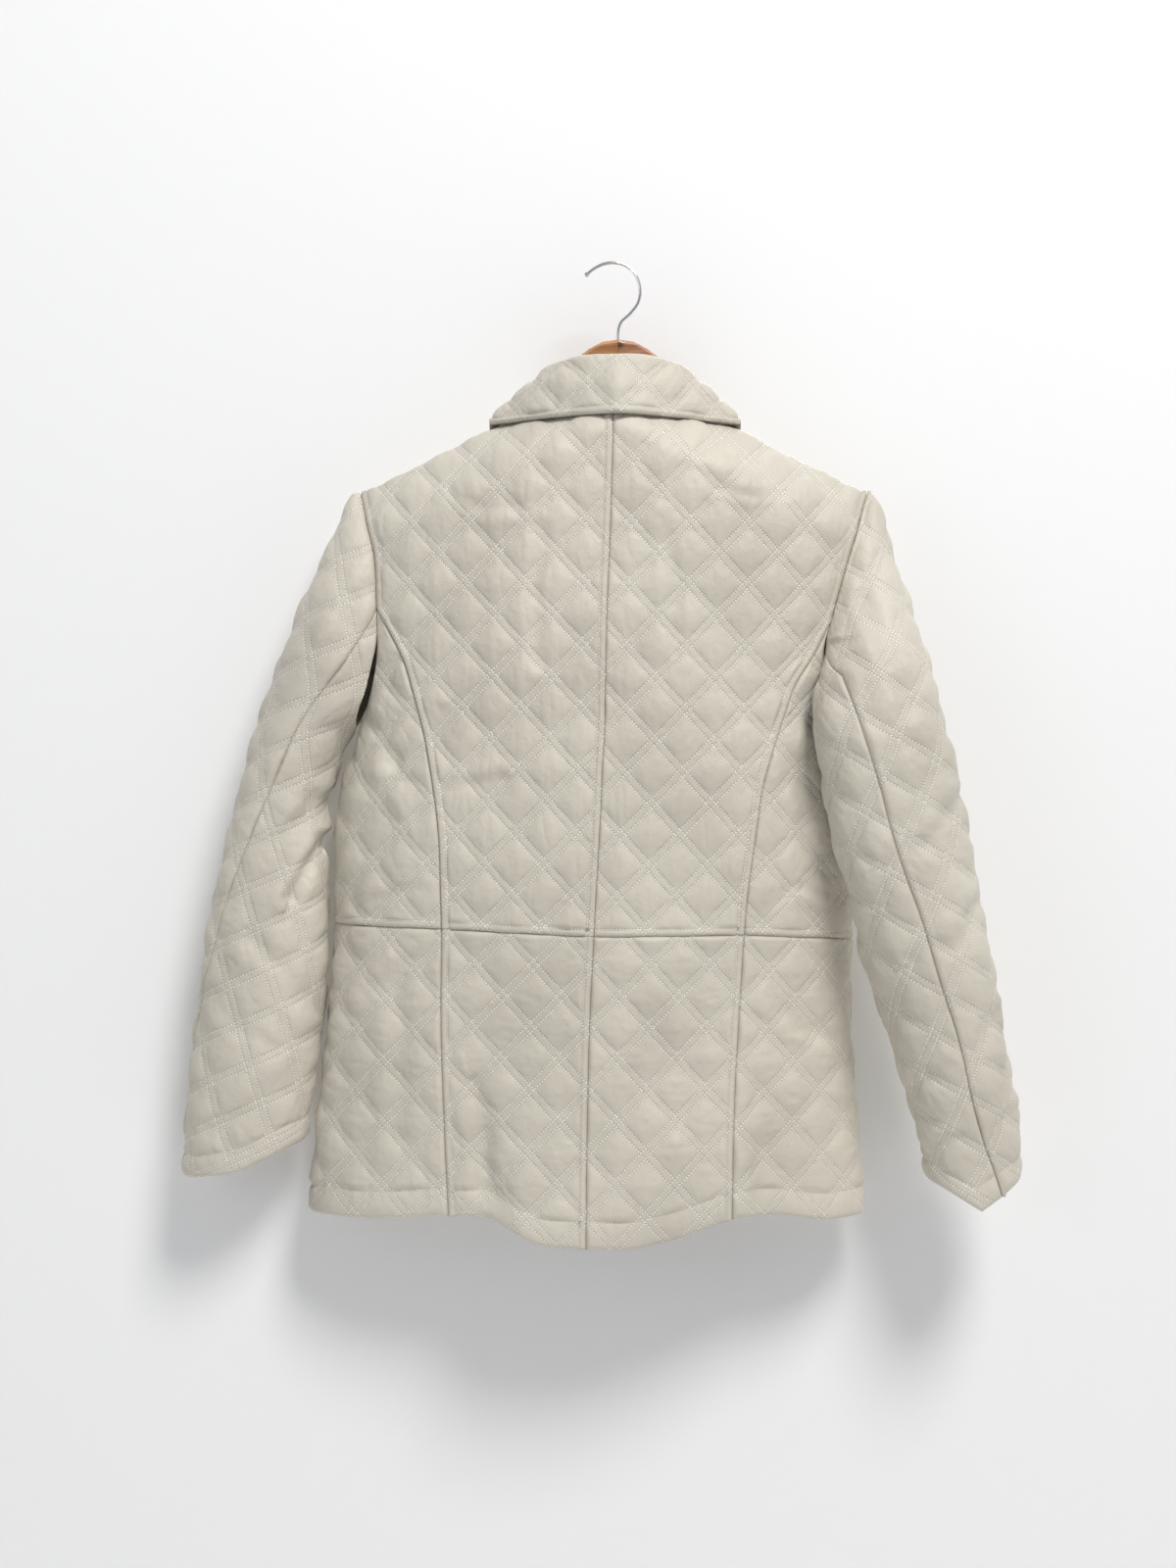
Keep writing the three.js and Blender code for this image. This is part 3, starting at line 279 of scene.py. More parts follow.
# Seeded value noise on a plane
def noise(x, y, seed):
    rng = np.random.default_rng(seed)
    lattice = rng.uniform(-1, 1, (64, 64))
    fx, fy = np.floor(x).astype(int), np.floor(y).astype(int)
    tx, ty = smooth(x - fx), smooth(y - fy)
    at = lambda i, j: lattice[(fx + i) % 64, (fy + j) % 64]
    top = at(0, 0) * (1 - tx) + at(1, 0) * tx
    low = at(0, 1) * (1 - tx) + at(1, 1) * tx
    return top * (1 - ty) + low * ty


# Stacks of horizontal rings: distance round the ring and height give a place
rings = {"steps": 480, "top": -60, "bottom": -880, "stepZ": 2.0, "stepS": 1.5}


def bodyLevel(z):
    level = {name: np.atleast_1d(lookUp(body, z, name)) for name in ("centre", "half", "back", "front")}
    level["middle"] = np.zeros_like(level["centre"])
    return level


def sleeveLevel(side, z):
    get = lambda name: np.atleast_1d(lookUp(side["rows"], z, name))
    outer, inner = get("outer"), get("inner")
    return {"centre": (outer + inner) / 2, "half": np.abs(outer - inner) / 2,
            "middle": get("middle"), "back": get("back"), "front": get("front")}


def ringsOf(level, powers):
    steps = rings["steps"]
    angle = -math.pi / 2 + math.pi * np.arange(-steps, steps + 1) / steps
    cos, sin = np.cos(angle), np.sin(angle)
    isBack = sin < 0
    power = np.where(isBack, 2 / powers["back"], 2 / powers["front"])
    depth = np.where(isBack, level["back"][:, None], level["front"][:, None])
    x = level["centre"][:, None] + level["half"][:, None] * np.sign(cos) * np.abs(cos) ** power
    y = level["middle"][:, None] + depth * np.sign(sin) * np.abs(sin) ** power
    run = np.zeros_like(x)
    run[:, 1:] = np.cumsum(np.hypot(np.diff(x), np.diff(y)), axis=1)
    return x, y, run - run[:, steps:steps + 1]


def surfaceTable(levelOf, powers, reach):
    z = np.arange(rings["top"], rings["bottom"], -rings["stepZ"])
    s = np.arange(-reach, reach + 1, rings["stepS"])
    x, y, run = ringsOf(levelOf(z), powers)
    xs, ys = np.empty((len(z), len(s))), np.empty((len(z), len(s)))
    for row in range(len(z)):
        whole = run[row, -1] - run[row, 0]
        wrapped = (s - run[row, 0]) % whole + run[row, 0]
        xs[row] = np.interp(wrapped, run[row], x[row])
        ys[row] = np.interp(wrapped, run[row], y[row])
    return {"s": s, "z": z, "x": xs, "y": ys}


def onTable(surface, s, z):
    fs = np.clip((s - surface["s"][0]) / rings["stepS"], 0, len(surface["s"]) - 1.001)
    fz = np.clip((surface["z"][0] - z) / rings["stepZ"], 0, len(surface["z"]) - 1.001)
    i, j = fs.astype(int), fz.astype(int)
    a, b = fs - i, fz - j
    places = []
    for grid in (surface["x"], surface["y"]):
        upper = grid[j, i] * (1 - a) + grid[j, i + 1] * a
        lower = grid[j + 1, i] * (1 - a) + grid[j + 1, i + 1] * a
        places.append(upper * (1 - b) + lower * b)
    return places


bodyTable = surfaceTable(bodyLevel, bodyPowers, 760)
for side in (left, right):
    side["table"] = surfaceTable(lambda z: sleeveLevel(side, z), sleevePowers, 330)
print("surfaces ready")


def hemSwell(x, z):
    fades = hem["swellFades"]
    across = smooth((x - hem["swellLeft"]) / fades) * (1 - smooth((x - hem["swellRight"]) / fades))
    return hem["swell"] * goingDown(z, *hem["swellGrows"]) * across


def bodyPoint(s, z):
    x, y = onTable(bodyTable, s, z)
    swell = np.where(y < 0, hemSwell(x, z), 0)
    return np.stack([x, forward(x) + y * shoulderRoll(x, z) - swell, z], -1)


def levelDepth(level, powers, x, isBack):
    power = np.where(isBack, powers["back"], powers["front"])
    offset = np.minimum(1, np.abs((x - level["centre"]) / level["half"]))
    return np.where(isBack, -level["back"], level["front"]) * (1 - offset ** power) ** (1 / power)


def armholeX(side, z, isBack):
    return np.where(isBack, lookUp(side["armhole"], z, "behind"), lookUp(side["armhole"], z, "before"))


def armholePull(side, level, x, z, isBack):
    covers = isBack & (side["sign"] > 0)
    fade = 1 - np.where(covers, goingDown(z, *armhole["coverPullFades"]), goingDown(z, *armhole["pullFades"]))
    edge = armholeX(side, z, isBack)
    wanted = forward(edge) + levelDepth(bodyLevel(z), bodyPowers, edge, isBack) * shoulderRoll(edge, z)
    found = level["middle"] + levelDepth(level, sleevePowers, edge, isBack)
    outer = level["centre"] + side["sign"] * level["half"]
    reach = np.clip(np.abs(outer - edge), *armhole["pullReach"])
    near = 1 - np.minimum(1, np.abs(x - edge) / reach)
    return (wanted - found) * near * near * fade


def sleevePoint(side):
    def place(s, z):
        x, y = onTable(side["table"], s, z)
        shape = np.shape(z)
        level = {name: value.reshape(shape) for name, value in sleeveLevel(side, np.ravel(z)).items()}
        return np.stack([x, y + armholePull(side, level, x, z, y < level["middle"]), z], -1)
    return place


def normalsOf(surface, s, z):
    along = surface(s + 2, z) - surface(s - 2, z)
    up = surface(s, z + 2) - surface(s, z - 2)
    normal = np.cross(along, up)
    return normal / np.maximum(np.linalg.norm(normal, axis=-1, keepdims=True), 1e-9)


def unit(vector):
    return vector / np.maximum(np.linalg.norm(vector, axis=-1, keepdims=True), 1e-9)


def leanAtArmhole(normal, point):
    x, y, z = point[..., 0], point[..., 1], point[..., 2]
    isBack = y < armhole["middleY"]
    edge = np.where(x < 0, armholeX(left, z, isBack), armholeX(right, z, isBack))
    upper = (1 - goingDown(z, *armhole["leanFades"])) * (1 - goingDown(z, *armhole["leanEnds"]))
    amount = (1 - smooth(np.abs(x - edge) / armhole["leanWidth"])) * upper
    halfDeep, halfTall = armhole["halfDeep"], armhole["halfTall"]
    deep = (y - armhole["middleY"]) / halfDeep
    high = np.maximum(0, (z - armhole["middleZ"]) / halfTall)
    common = unit(np.stack([np.zeros_like(x), deep ** 3 / halfDeep, high ** 3 / halfTall], -1))
    return unit(normal + (common - normal) * amount[..., None])


# Places on the pattern, as (distance round, height)
def ringAt(levelOf, powers, z):
    x, y, run = ringsOf(levelOf(np.array([float(z)])), powers)
    return x[0], run[0]


def distanceTo(levelOf, powers, x, z, isBack):
    xs, run = ringAt(levelOf, powers, z)
    steps, quarter = rings["steps"], rings["steps"] // 2
    if isBack:
        part = slice(quarter, steps + quarter + 1)
        return float(np.interp(x, xs[part], run[part]))
    middle = 0.5 * (xs[quarter] + xs[steps + quarter])
    if x >= middle:
        part = slice(steps + quarter, None)
    else:
        part = slice(0, quarter + 1)
    ordered = np.argsort(xs[part])
    return float(np.interp(x, xs[part][ordered], run[part][ordered]))


def onBody(x, z, isBack):
    return (distanceTo(bodyLevel, bodyPowers, x, z, isBack), z)


def centreFront(side, z, beyond):
    return (side["sign"] * (ringAt(bodyLevel, bodyPowers, z)[1][-1] + beyond), z)


def sideSeam(side, z):
    level = bodyLevel(np.array([float(z)]))
    return onBody(float(level["centre"][0] + side["sign"] * level["half"][0]), z, True)


def heights(top, bottom, step=6.0):
    return np.linspace(top, bottom, max(2, int(round((top - bottom) / step)) + 1))


def armholeRun(side, isBack, top, bottom):
    return [onBody(float(armholeX(side, z, isBack)), z, isBack) for z in heights(top, bottom)]


def panelRun(side, top, bottom):
    return [onBody(float(lookUp(side["panel"], z, "x")), z, True) for z in heights(top, bottom)]


def sideRun(side, top, bottom):
    return [sideSeam(side, z) for z in heights(top, bottom)]


def shoulderRun(side, isBack):
    xs = np.linspace(shoulder["tip"] - (0 if side is left else 2), shoulder["neckHalf"], 30)
    return [onBody(side["sign"] * float(x), float(shoulderLine(x)), isBack) for x in xs]


def frontNecklineZ(x):
    share = min(1, abs(x) / shoulder["neckHalf"])
    return shoulder["neckZ"] - shoulder["frontDrop"] * math.sqrt(1 - share * share)


def neckRun(side):
    angles = np.linspace(math.pi / 2, math.pi, 20)
    xs = [side["sign"] * shoulder["neckHalf"] * math.sin(a) for a in angles]
    return [onBody(x, frontNecklineZ(x), False) for x in xs[:-1]]


def hemRun(side, fromX, toX):
    xs = np.linspace(fromX, toX, 40)
    rows = np.array(sorted(side["hem"]))
    fineX = np.linspace(rows[0, 0], rows[-1, 0], 300)
    fineZ = np.interp(fineX, rows[:, 0], rows[:, 1])
    taper = np.hanning(41)
    soft = np.convolve(np.pad(fineZ, 20, mode="edge"), taper / taper.sum(), mode="valid")
    zs = np.interp(xs, fineX, soft)
    return [onBody(float(x), float(z), True) for x, z in zip(xs, zs)]


def waistRun(side, isSide):
    panel = onBody(float(lookUp(side["panel"], side["waist"]["panel"], "x")), side["waist"]["panel"], True)
    if isSide:
        return [panel, sideSeam(side, side["waist"]["side"])]
    return [panel, (0.0, waistMiddle)]


def onSleeve(side, x, z, isBack, isUpper=False):
    levelOf = lambda heightsIn: sleeveLevel(side, heightsIn)
    s = distanceTo(levelOf, sleevePowers, x, z, isBack)
    run = ringAt(levelOf, sleevePowers, z)[1]
    goesOn = isUpper and not isBack and s * side["sign"] < 0
    return (s + side["sign"] * (run[-1] - run[0]) if goesOn else s, z)


def sleeveSpan(side, z):
    level = sleeveLevel(side, z)
    return float(level["centre"][0]), float(level["half"][0])


def sleeveArmhole(side, isBack, top, bottom, isUpper):
    run = []
    for z in heights(top, bottom):
        slack = armhole["ease"] + armhole["slack"] * float(goingDown(z, *armhole["slackGrows"]))
        centre, half = sleeveSpan(side, z)
        covers = side is right and isBack and z < armhole["coversBelow"]
        x = centre - half if covers else float(armholeX(side, z, isBack)) + side["sign"] * slack
        run.append(onSleeve(side, x, z, isBack, isUpper))
    return run


def cuffPoint(side, share, isBack, isUpper):
    cuff = side["cuff"]
    z = float(np.interp(share, [0, 0.5, 1], [cuff["outer"], cuff["middle"], cuff["inner"]]))
    centre, half = sleeveSpan(side, z)
    return onSleeve(side, centre + side["sign"] * half * (1 - 2 * share), z, isBack, isUpper)


def frontSeam(side, isUpper):
    top = float(armholeX(side, armhole["low"], False)) + side["sign"] * armhole["slack"]
    centre, half = sleeveSpan(side, armhole["low"])
    start = 1 - abs(top - centre) / half
    run = []
    for z in heights(armhole["low"], side["cuff"]["middle"] + 4, 5):
        centre, half = sleeveSpan(side, z)
        share = start + (1 - start) * min(1, (armhole["low"] - z) / 50) ** 0.7
        x = centre - side["sign"] * (half * (1 - share) + 0.01)
        run.append(onSleeve(side, x, z, False, isUpper))
    return run


def backSeam(side):
    seam = side["sleeveSeam"]
    down = heights(seam["z"][0], seam["z"][-1])
    return [onSleeve(side, float(lookUp(seam, z, "x")), z, True) for z in down]


def seamShare(side):
    centre, half = sleeveSpan(side, -800)
    return (1 - (side["cuff"]["seamX"] - centre) * side["sign"] / half) / 2


# A pattern piece from its four edges, each evenly divided
def evenly(points, count):
    points = np.array(points, float)
    run = np.r_[0, np.cumsum(np.hypot(*np.diff(points, axis=0).T))]
    if run[-1] == 0:
        return np.repeat(points[:1], count, axis=0)
    at = np.linspace(0, run[-1], count)
    return np.stack([np.interp(at, run, points[:, k]) for k in (0, 1)], -1)


def length(points):
    return float(np.hypot(*np.diff(np.array(points, float), axis=0).T).sum())


def patch(top, bottom, leftEdge, rightEdge, step):
    every = cloth["innerEvery"]
    across = every * math.ceil(max(length(top), length(bottom)) / step / every)
    down = every * math.ceil(max(length(leftEdge), length(rightEdge)) / step / every)
    t, b = evenly(top, across + 1), evenly(bottom, across + 1)
    l, r = evenly(leftEdge, down + 1), evenly(rightEdge, down + 1)
    u = np.linspace(0, 1, across + 1)[None, :, None]
    v = np.linspace(0, 1, down + 1)[:, None, None]
    grid = (1 - v) * t[None] + v * b[None] + (1 - u) * l[:, None] + u * r[:, None]
    grid -= (1 - u) * (1 - v) * t[0] + u * (1 - v) * t[-1] + (1 - u) * v * b[0] + u * v * b[-1]
    return grid


def edgeDistances(grid):
    gap = lambda edge: np.linalg.norm(grid - edge, axis=-1)
    return {"top": gap(grid[:1]), "bottom": gap(grid[-1:]),
            "left": gap(grid[:, :1]), "right": gap(grid[:, -1:])}


def latticeAt(s, z, lattice):
    cos, sin = math.cos(lattice[2]), math.sin(lattice[2])
    across = ((s - lattice[0]) * cos + (z - lattice[1]) * sin) / (cloth["diamondWide"] / 2)
    up = ((z - lattice[1]) * cos - (s - lattice[0]) * sin) / (cloth["diamondTall"] / 2)
    return across + up, across - up


def fromLine(value):
    return np.abs(value - 2 * np.round(value / 2)) * cloth["lineUnit"]


# Height of the quilting over the plain wall
def quiltHeight(s, z, lattice, creaseWay, seed):
    a, b = latticeAt(s, z, lattice)
    da, db = fromLine(a), fromLine(b)
    half, full = cloth["doubleHalf"], cloth["lineUnit"] - cloth["doubleHalf"]
    ta, tb = np.clip((da - half) / full, 0, 1), np.clip((db - half) / full, 0, 1)
    puff = lambda t: 1 - (1 - t) ** 2.2
    cell = np.floor(a / 2) * 7.3 + np.floor(b / 2) * 3.1
    fullness = 0.88 + 0.12 * np.sin(cell * 12.9 + seed)
    inside = puff(ta) * puff(tb)
    pillow = cloth["pillow"] * fullness * inside ** 0.75
    ridgeA = np.where(da < half, 1 - (da / half) ** 2, 0) * np.minimum(1, np.abs(db - half) / 1.6)
    ridgeB = np.where(db < half, 1 - (db / half) ** 2, 0) * np.minimum(1, np.abs(da - half) / 1.6)
    channel = cloth["channel"] * np.maximum(ridgeA, ridgeB)
    warp = 5 * noise(s / 40, z / 40, seed + 5)
    if creaseWay == "down":
        fold = noise((s + warp) / 8.5, z / 55 + 9, seed)
        fine = noise((s - warp) / 5, z / 16, seed + 1)
    elif creaseWay == "across":
        fold = noise(s / 34 + 3, (z + warp) / 9, seed)
        fine = noise(s / 12, (z - warp) / 5.5, seed + 1)
    else:
        fold = noise((s + 0.7 * z + warp) / 13, (z - 0.7 * s) / 36, seed)
        fine = noise((s - 0.4 * z) / 6, z / 9, seed + 1)
    crease = (1 - np.abs(fold)) ** 4
    wrinkle = inside * (-0.85 * crease + 0.4 * fine)
    pucker = 0.22 * noise(s / 3.6, z / 3.6, seed + 2) * bell(np.minimum(da, db) - half, 3.5)
    return pillow + channel + wrinkle + pucker, a, b


# Raised and stitched edges: kind, width
def dressEdges(height, grid, edges, seed):
    s, z = grid[..., 0], grid[..., 1]
    gaps = edgeDistances(grid)
    seamGap = np.full(s.shape, 99.0)
    seamRun = np.zeros(s.shape)
    for name, gap in gaps.items():
        kind, width = edges.get(name, ("plain", 0))
        run = z if name in ("left", "right") else s
        if kind == "plain":
            height = height * smooth(gap / 3.5) ** 0.5
        if kind == "fold":
            height = height * (0.4 + 0.6 * smooth(gap / 9))
        if kind in ("welt", "cord"):
            high = 1.2 if kind == "welt" else 2.4
            onWelt = np.clip(1 - np.abs(2 * gap / width - 1) ** 2.6, 0, 1) ** 0.5
            uneven = 1 + 0.25 * noise(run / 6, gap / 30, seed + 11)
            outside = smooth((gap - width + 0.6) / 4) ** 0.6
            height = np.where(gap < width, 0.35 + high * onWelt * uneven, 0.35 + (height - 0.35) * outside)
        if kind == "band":
            wide = width + 0.9 * noise(run / 38, gap * 0, seed + 12)
            across = np.clip(gap / wide, 0, 1)
            roll = 1.9 * np.sin(math.pi * across ** 0.8) ** 0.7
            pull = noise(run / 4.6, gap / 26, seed + 13) * bell(gap - wide, 11)
            banded = height * 0.4 * np.sin(math.pi * across) + roll
            above = height * smooth((gap - wide) / 6) ** 0.7
            height = np.where(gap < wide, banded, above) + 0.75 * pull * smooth(np.abs(gap - wide) / 3)
            width = wide
        if kind in ("welt", "band"):
            away = np.abs(gap - width)
            seamRun = np.where(away < seamGap, run, seamRun)
            seamGap = np.minimum(seamGap, away)
        height = height - 0.9 * np.clip(1 - gap / 1.2, 0, 1) ** 2
    return height, seamGap, seamRun


# Creases drawn in the view: places, depth, width
creases = {
    "back": [
        {"path": [(-124, -715), (-112, -765), (-113, -800), (-99, -832), (-97, -856)],
         "depth": 4.2, "width": 11},
        {"path": [(118, -722), (124, -765), (122, -800), (128, -830), (126, -856)],
         "depth": 4.0, "width": 11},
        {"path": [(-98, -452), (-140, -462), (-176, -455)], "depth": 1.6, "width": 6},
        {"path": [(-142, -560), (-168, -546), (-205, -556)], "depth": 1.8, "width": 6},
        {"path": [(-150, -395), (-172, -412), (-190, -440)], "depth": 2.2, "width": 7},
        {"path": [(130, -560), (152, -545), (190, -552)], "depth": 1.8, "width": 6},
        {"path": [(86, -205), (118, -211), (146, -208)], "depth": 1.2, "width": 5},
        {"path": [(70, -176), (98, -182), (118, -180)], "depth": 1.0, "width": 5},
        {"path": [(-140, -208), (-112, -222), (-84, -220)], "depth": 1.3, "width": 6},
        {"path": [(134, -640), (158, -668), (190, -676)], "depth": 2.0, "width": 7},
        {"path": [(-168, -600), (-190, -622), (-214, -640)], "depth": 2.0, "width": 7},
        {"path": [(-196, -432), (-168, -470), (-150, -515)], "depth": 2.2, "width": 9},
        {"path": [(150, -440), (160, -480), (158, -530)], "depth": 2.0, "width": 9},
        {"path": [(-62, -240), (-70, -300), (-64, -352)], "depth": 1.5, "width": 7},
        {"path": [(40, -232), (52, -290), (49, -340)], "depth": 1.4, "width": 7},
        {"path": [(-190, -620), (-182, -690), (-186, -760)], "depth": 2.0, "width": 11},
        {"path": [(-38, -610), (-46, -665), (-40, -730)], "depth": 1.6, "width": 10},
        {"path": [(60, -620), (68, -680), (58, -745)], "depth": 1.5, "width": 10},
    ],
    "front": [
        {"path": [(-112, -745), (-104, -790), (-110, -834)], "depth": 2.6, "width": 9},
        {"path": [(112, -750), (120, -795), (112, -834)], "depth": 2.6, "width": 9},
        {"path": [(-150, -250), (-120, -330), (-112, -400)], "depth": 1.8, "width": 9},
        {"path": [(150, -250), (118, -330), (110, -400)], "depth": 1.8, "width": 9},
        {"path": [(-190, -440), (-150, -500), (-120, -590)], "depth": 1.8, "width": 10},
        {"path": [(175, -450), (140, -520), (120, -600)], "depth": 1.8, "width": 10},
    ],
    "leftSleeve": [
        {"path": [(-256, -505), (-268, -528), (-283, -556)], "depth": 5.0, "width": 6},
        {"path": [(-262, -470), (-284, -500), (-312, -512)], "depth": 2.2, "width": 8},
        {"path": [(-318, -590), (-292, -615), (-270, -650)], "depth": 2.2, "width": 9},
        {"path": [(-225, -300), (-240, -345), (-262, -385)], "depth": 2.4, "width": 9},
        {"path": [(-352, -640), (-330, -668), (-300, -684)], "depth": 1.8, "width": 8},
        {"path": [(-300, -720), (-320, -745), (-352, -755)], "depth": 1.6, "width": 8},
    ],
    "rightSleeve": [
        {"path": [(286, -470), (262, -505), (232, -520)], "depth": 2.4, "width": 8},
        {"path": [(305, -560), (284, -590), (252, -605)], "depth": 2.6, "width": 8},
        {"path": [(214, -300), (228, -345), (246, -392)], "depth": 2.4, "width": 9},
        {"path": [(318, -655), (296, -690), (270, -704)], "depth": 2.0, "width": 8},
        {"path": [(335, -738), (312, -756), (286, -760)], "depth": 1.6, "width": 7},
    ],
}


def creaseDepth(x, z, listed):
    total = np.zeros_like(x)
    for crease in listed:
        path = np.array(crease["path"], float)
        best, sideOf = np.full(x.shape, 1e9), np.zeros_like(x)
        for a, b in zip(path[:-1], path[1:]):
            ab = b - a
            t = np.clip(((x - a[0]) * ab[0] + (z - a[1]) * ab[1]) / (ab @ ab), 0, 1)
            px, pz = x - a[0] - t * ab[0], z - a[1] - t * ab[1]
            away = np.hypot(px, pz)
            turn = np.sign(px * ab[1] - pz * ab[0])
            sideOf = np.where(away < best, turn * away, sideOf)
            best = np.minimum(best, away)
        wide = crease["width"]
        total -= crease["depth"] * bell(best, wide)
        total += 0.55 * crease["depth"] * bell(sideOf - 1.7 * wide, 1.1 * wide) * (best < 4 * wide)
    return total


def makeMesh(name, points, quads, triangles, values):
    mesh = bpy.data.meshes.new(name)
    loops = np.r_[quads.ravel(), triangles.ravel()].astype(np.int32)
    starts = np.r_[np.arange(len(quads)) * 4, len(quads) * 4 + np.arange(len(triangles)) * 3].astype(np.int32)
    mesh.vertices.add(len(points))
    mesh.vertices.foreach_set("co", (points / 1000).astype(np.float32).ravel())
    mesh.loops.add(len(loops))
    mesh.loops.foreach_set("vertex_index", loops)
    mesh.polygons.add(len(starts))
    mesh.polygons.foreach_set("loop_start", starts)
    mesh.update(calc_edges=True)
    mesh.polygons.foreach_set("use_smooth", np.ones(len(starts), bool))
    for key, value in values.items():
        layer = mesh.attributes.new(key, "FLOAT_VECTOR", "POINT")
        layer.data.foreach_set("vector", value.astype(np.float32).ravel())
    mesh.validate()
    obj = bpy.data.objects.new(name, mesh)
    bpy.context.scene.collection.objects.link(obj)
    return obj


# A closed wall: fine outside, coarser inside, and a rim that joins them
def closedShell(name, outer, inner, values):
    every = cloth["innerEvery"]

    def cellsOf(rows, columns, start):
        index = start + np.arange(rows * columns).reshape(rows, columns)
        return index, index[:-1, :-1], index[:-1, 1:], index[1:, 1:], index[1:, :-1]

    def loopOf(index):
        return np.r_[index[0, :-1], index[:-1, -1], index[-1, :0:-1], index[:0:-1, 0]]

    rows, columns = outer.shape[:2]
    index, a, b, c, d = cellsOf(rows, columns, 0)
    innerIndex, e, f, g, h = cellsOf(*inner.shape[:2], rows * columns)
    outside = np.stack([a, d, c, b], -1).reshape(-1, 4)
    inside = np.stack([e, f, g, h], -1).reshape(-1, 4)
    fine, coarse = loopOf(index), loopOf(innerIndex)
    after = np.roll(coarse, -1)
    rim = []
    for j in range(every):
        here = fine[j::every]
        there = np.roll(fine, -1)[j::every]
        rim.append(np.stack([here, there, coarse if j < every // 2 else after], -1))
    rim.append(np.stack([fine[every // 2::every], after, coarse], -1))
    points = np.concatenate([outer.reshape(-1, 3), inner.reshape(-1, 3)])
    filled = {}
    for key, (value, plain) in values.items():
        extra = np.tile(np.array(plain, float), (inner.shape[0] * inner.shape[1], 1))
        filled[key] = np.concatenate([value.reshape(-1, 3), extra])
    return makeMesh(name, points, np.concatenate([outside, inside]), np.concatenate(rim), filled)


def outlineArea(grid):
    edge = np.concatenate([grid[0, :-1], grid[:-1, -1], grid[-1, :0:-1], grid[:0:-1, 0]])
    x, y = edge[:, 0], edge[:, 1]
    return abs(np.sum(x * np.roll(y, -1) - y * np.roll(x, -1))) / 2


sheetSizes = {}


def declareSheet(obj, grid):
    wide, tall = np.ptp(grid[..., 0]) / 1000, np.ptp(grid[..., 1]) / 1000
    area = outlineArea(grid) / 1e6
    sheetSizes[obj.name] = (round(float(wide), 3), round(float(tall), 3), round(float(area), 4))
    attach(obj, "root")


def sewPanel(node, surface, outline, lattice, edges, creaseWay, creaseSets, seed,
             tuck=None, step=cloth["step"]):
    grid = patch(*outline, step)
    s, z = grid[..., 0], grid[..., 1]
    height, a, b = quiltHeight(s, z, lattice, creaseWay, seed)
    height, seamGap, seamRun = dressEdges(height, grid, edges, seed)
    base = surface(s, z)
    normal = leanAtArmhole(normalsOf(surface, s, z), base)
    isBack = base[..., 1] < 8
    drape = np.zeros_like(s)
    for where, listed in creaseSets:
        wanted = isBack if where == "back" else ~isBack
        drape += creaseDepth(base[..., 0], z, listed) * wanted
    gaps = edgeDistances(grid)
    nearest = np.minimum.reduce(list(gaps.values()))
    soft = 1.1 * noise(s / 70, z / 95, seed + 21) + 0.6 * noise(s / 33, z / 41, seed + 22)
    drape = (drape + soft) * smooth(nearest / 30)
    stepIn = tuck(s, z) if tuck else 0
    out = cloth["wall"] + height + drape - stepIn
    outer = base + normal * out[..., None]
    every = cloth["innerEvery"]
    under = (drape - stepIn)[::every, ::every]
    inner = base[::every, ::every] + normal[::every, ::every] * (np.minimum(under, 0.3))[..., None]
    latticeValue = np.stack([a, b, np.full_like(a, cloth["lineUnit"])], -1)
    values = {
        "lattice": (latticeValue, (1, 1, cloth["lineUnit"])),
        "pattern": (np.stack([s, z, np.zeros_like(s)], -1), (0, 0, 1)),
        "seam": (np.stack([seamGap, seamRun, np.zeros_like(s)], -1), (99, 0, 0)),
    }
    obj = closedShell(node + "_cloth", outer, inner, values)
    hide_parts(node)
    declareSheet(obj, grid)
    return obj


# Back: two upper panels, two lower ones and the side panels
welt = ("welt", 6.0)
band = ("band", hem["band"])
plain = ("plain", 0)


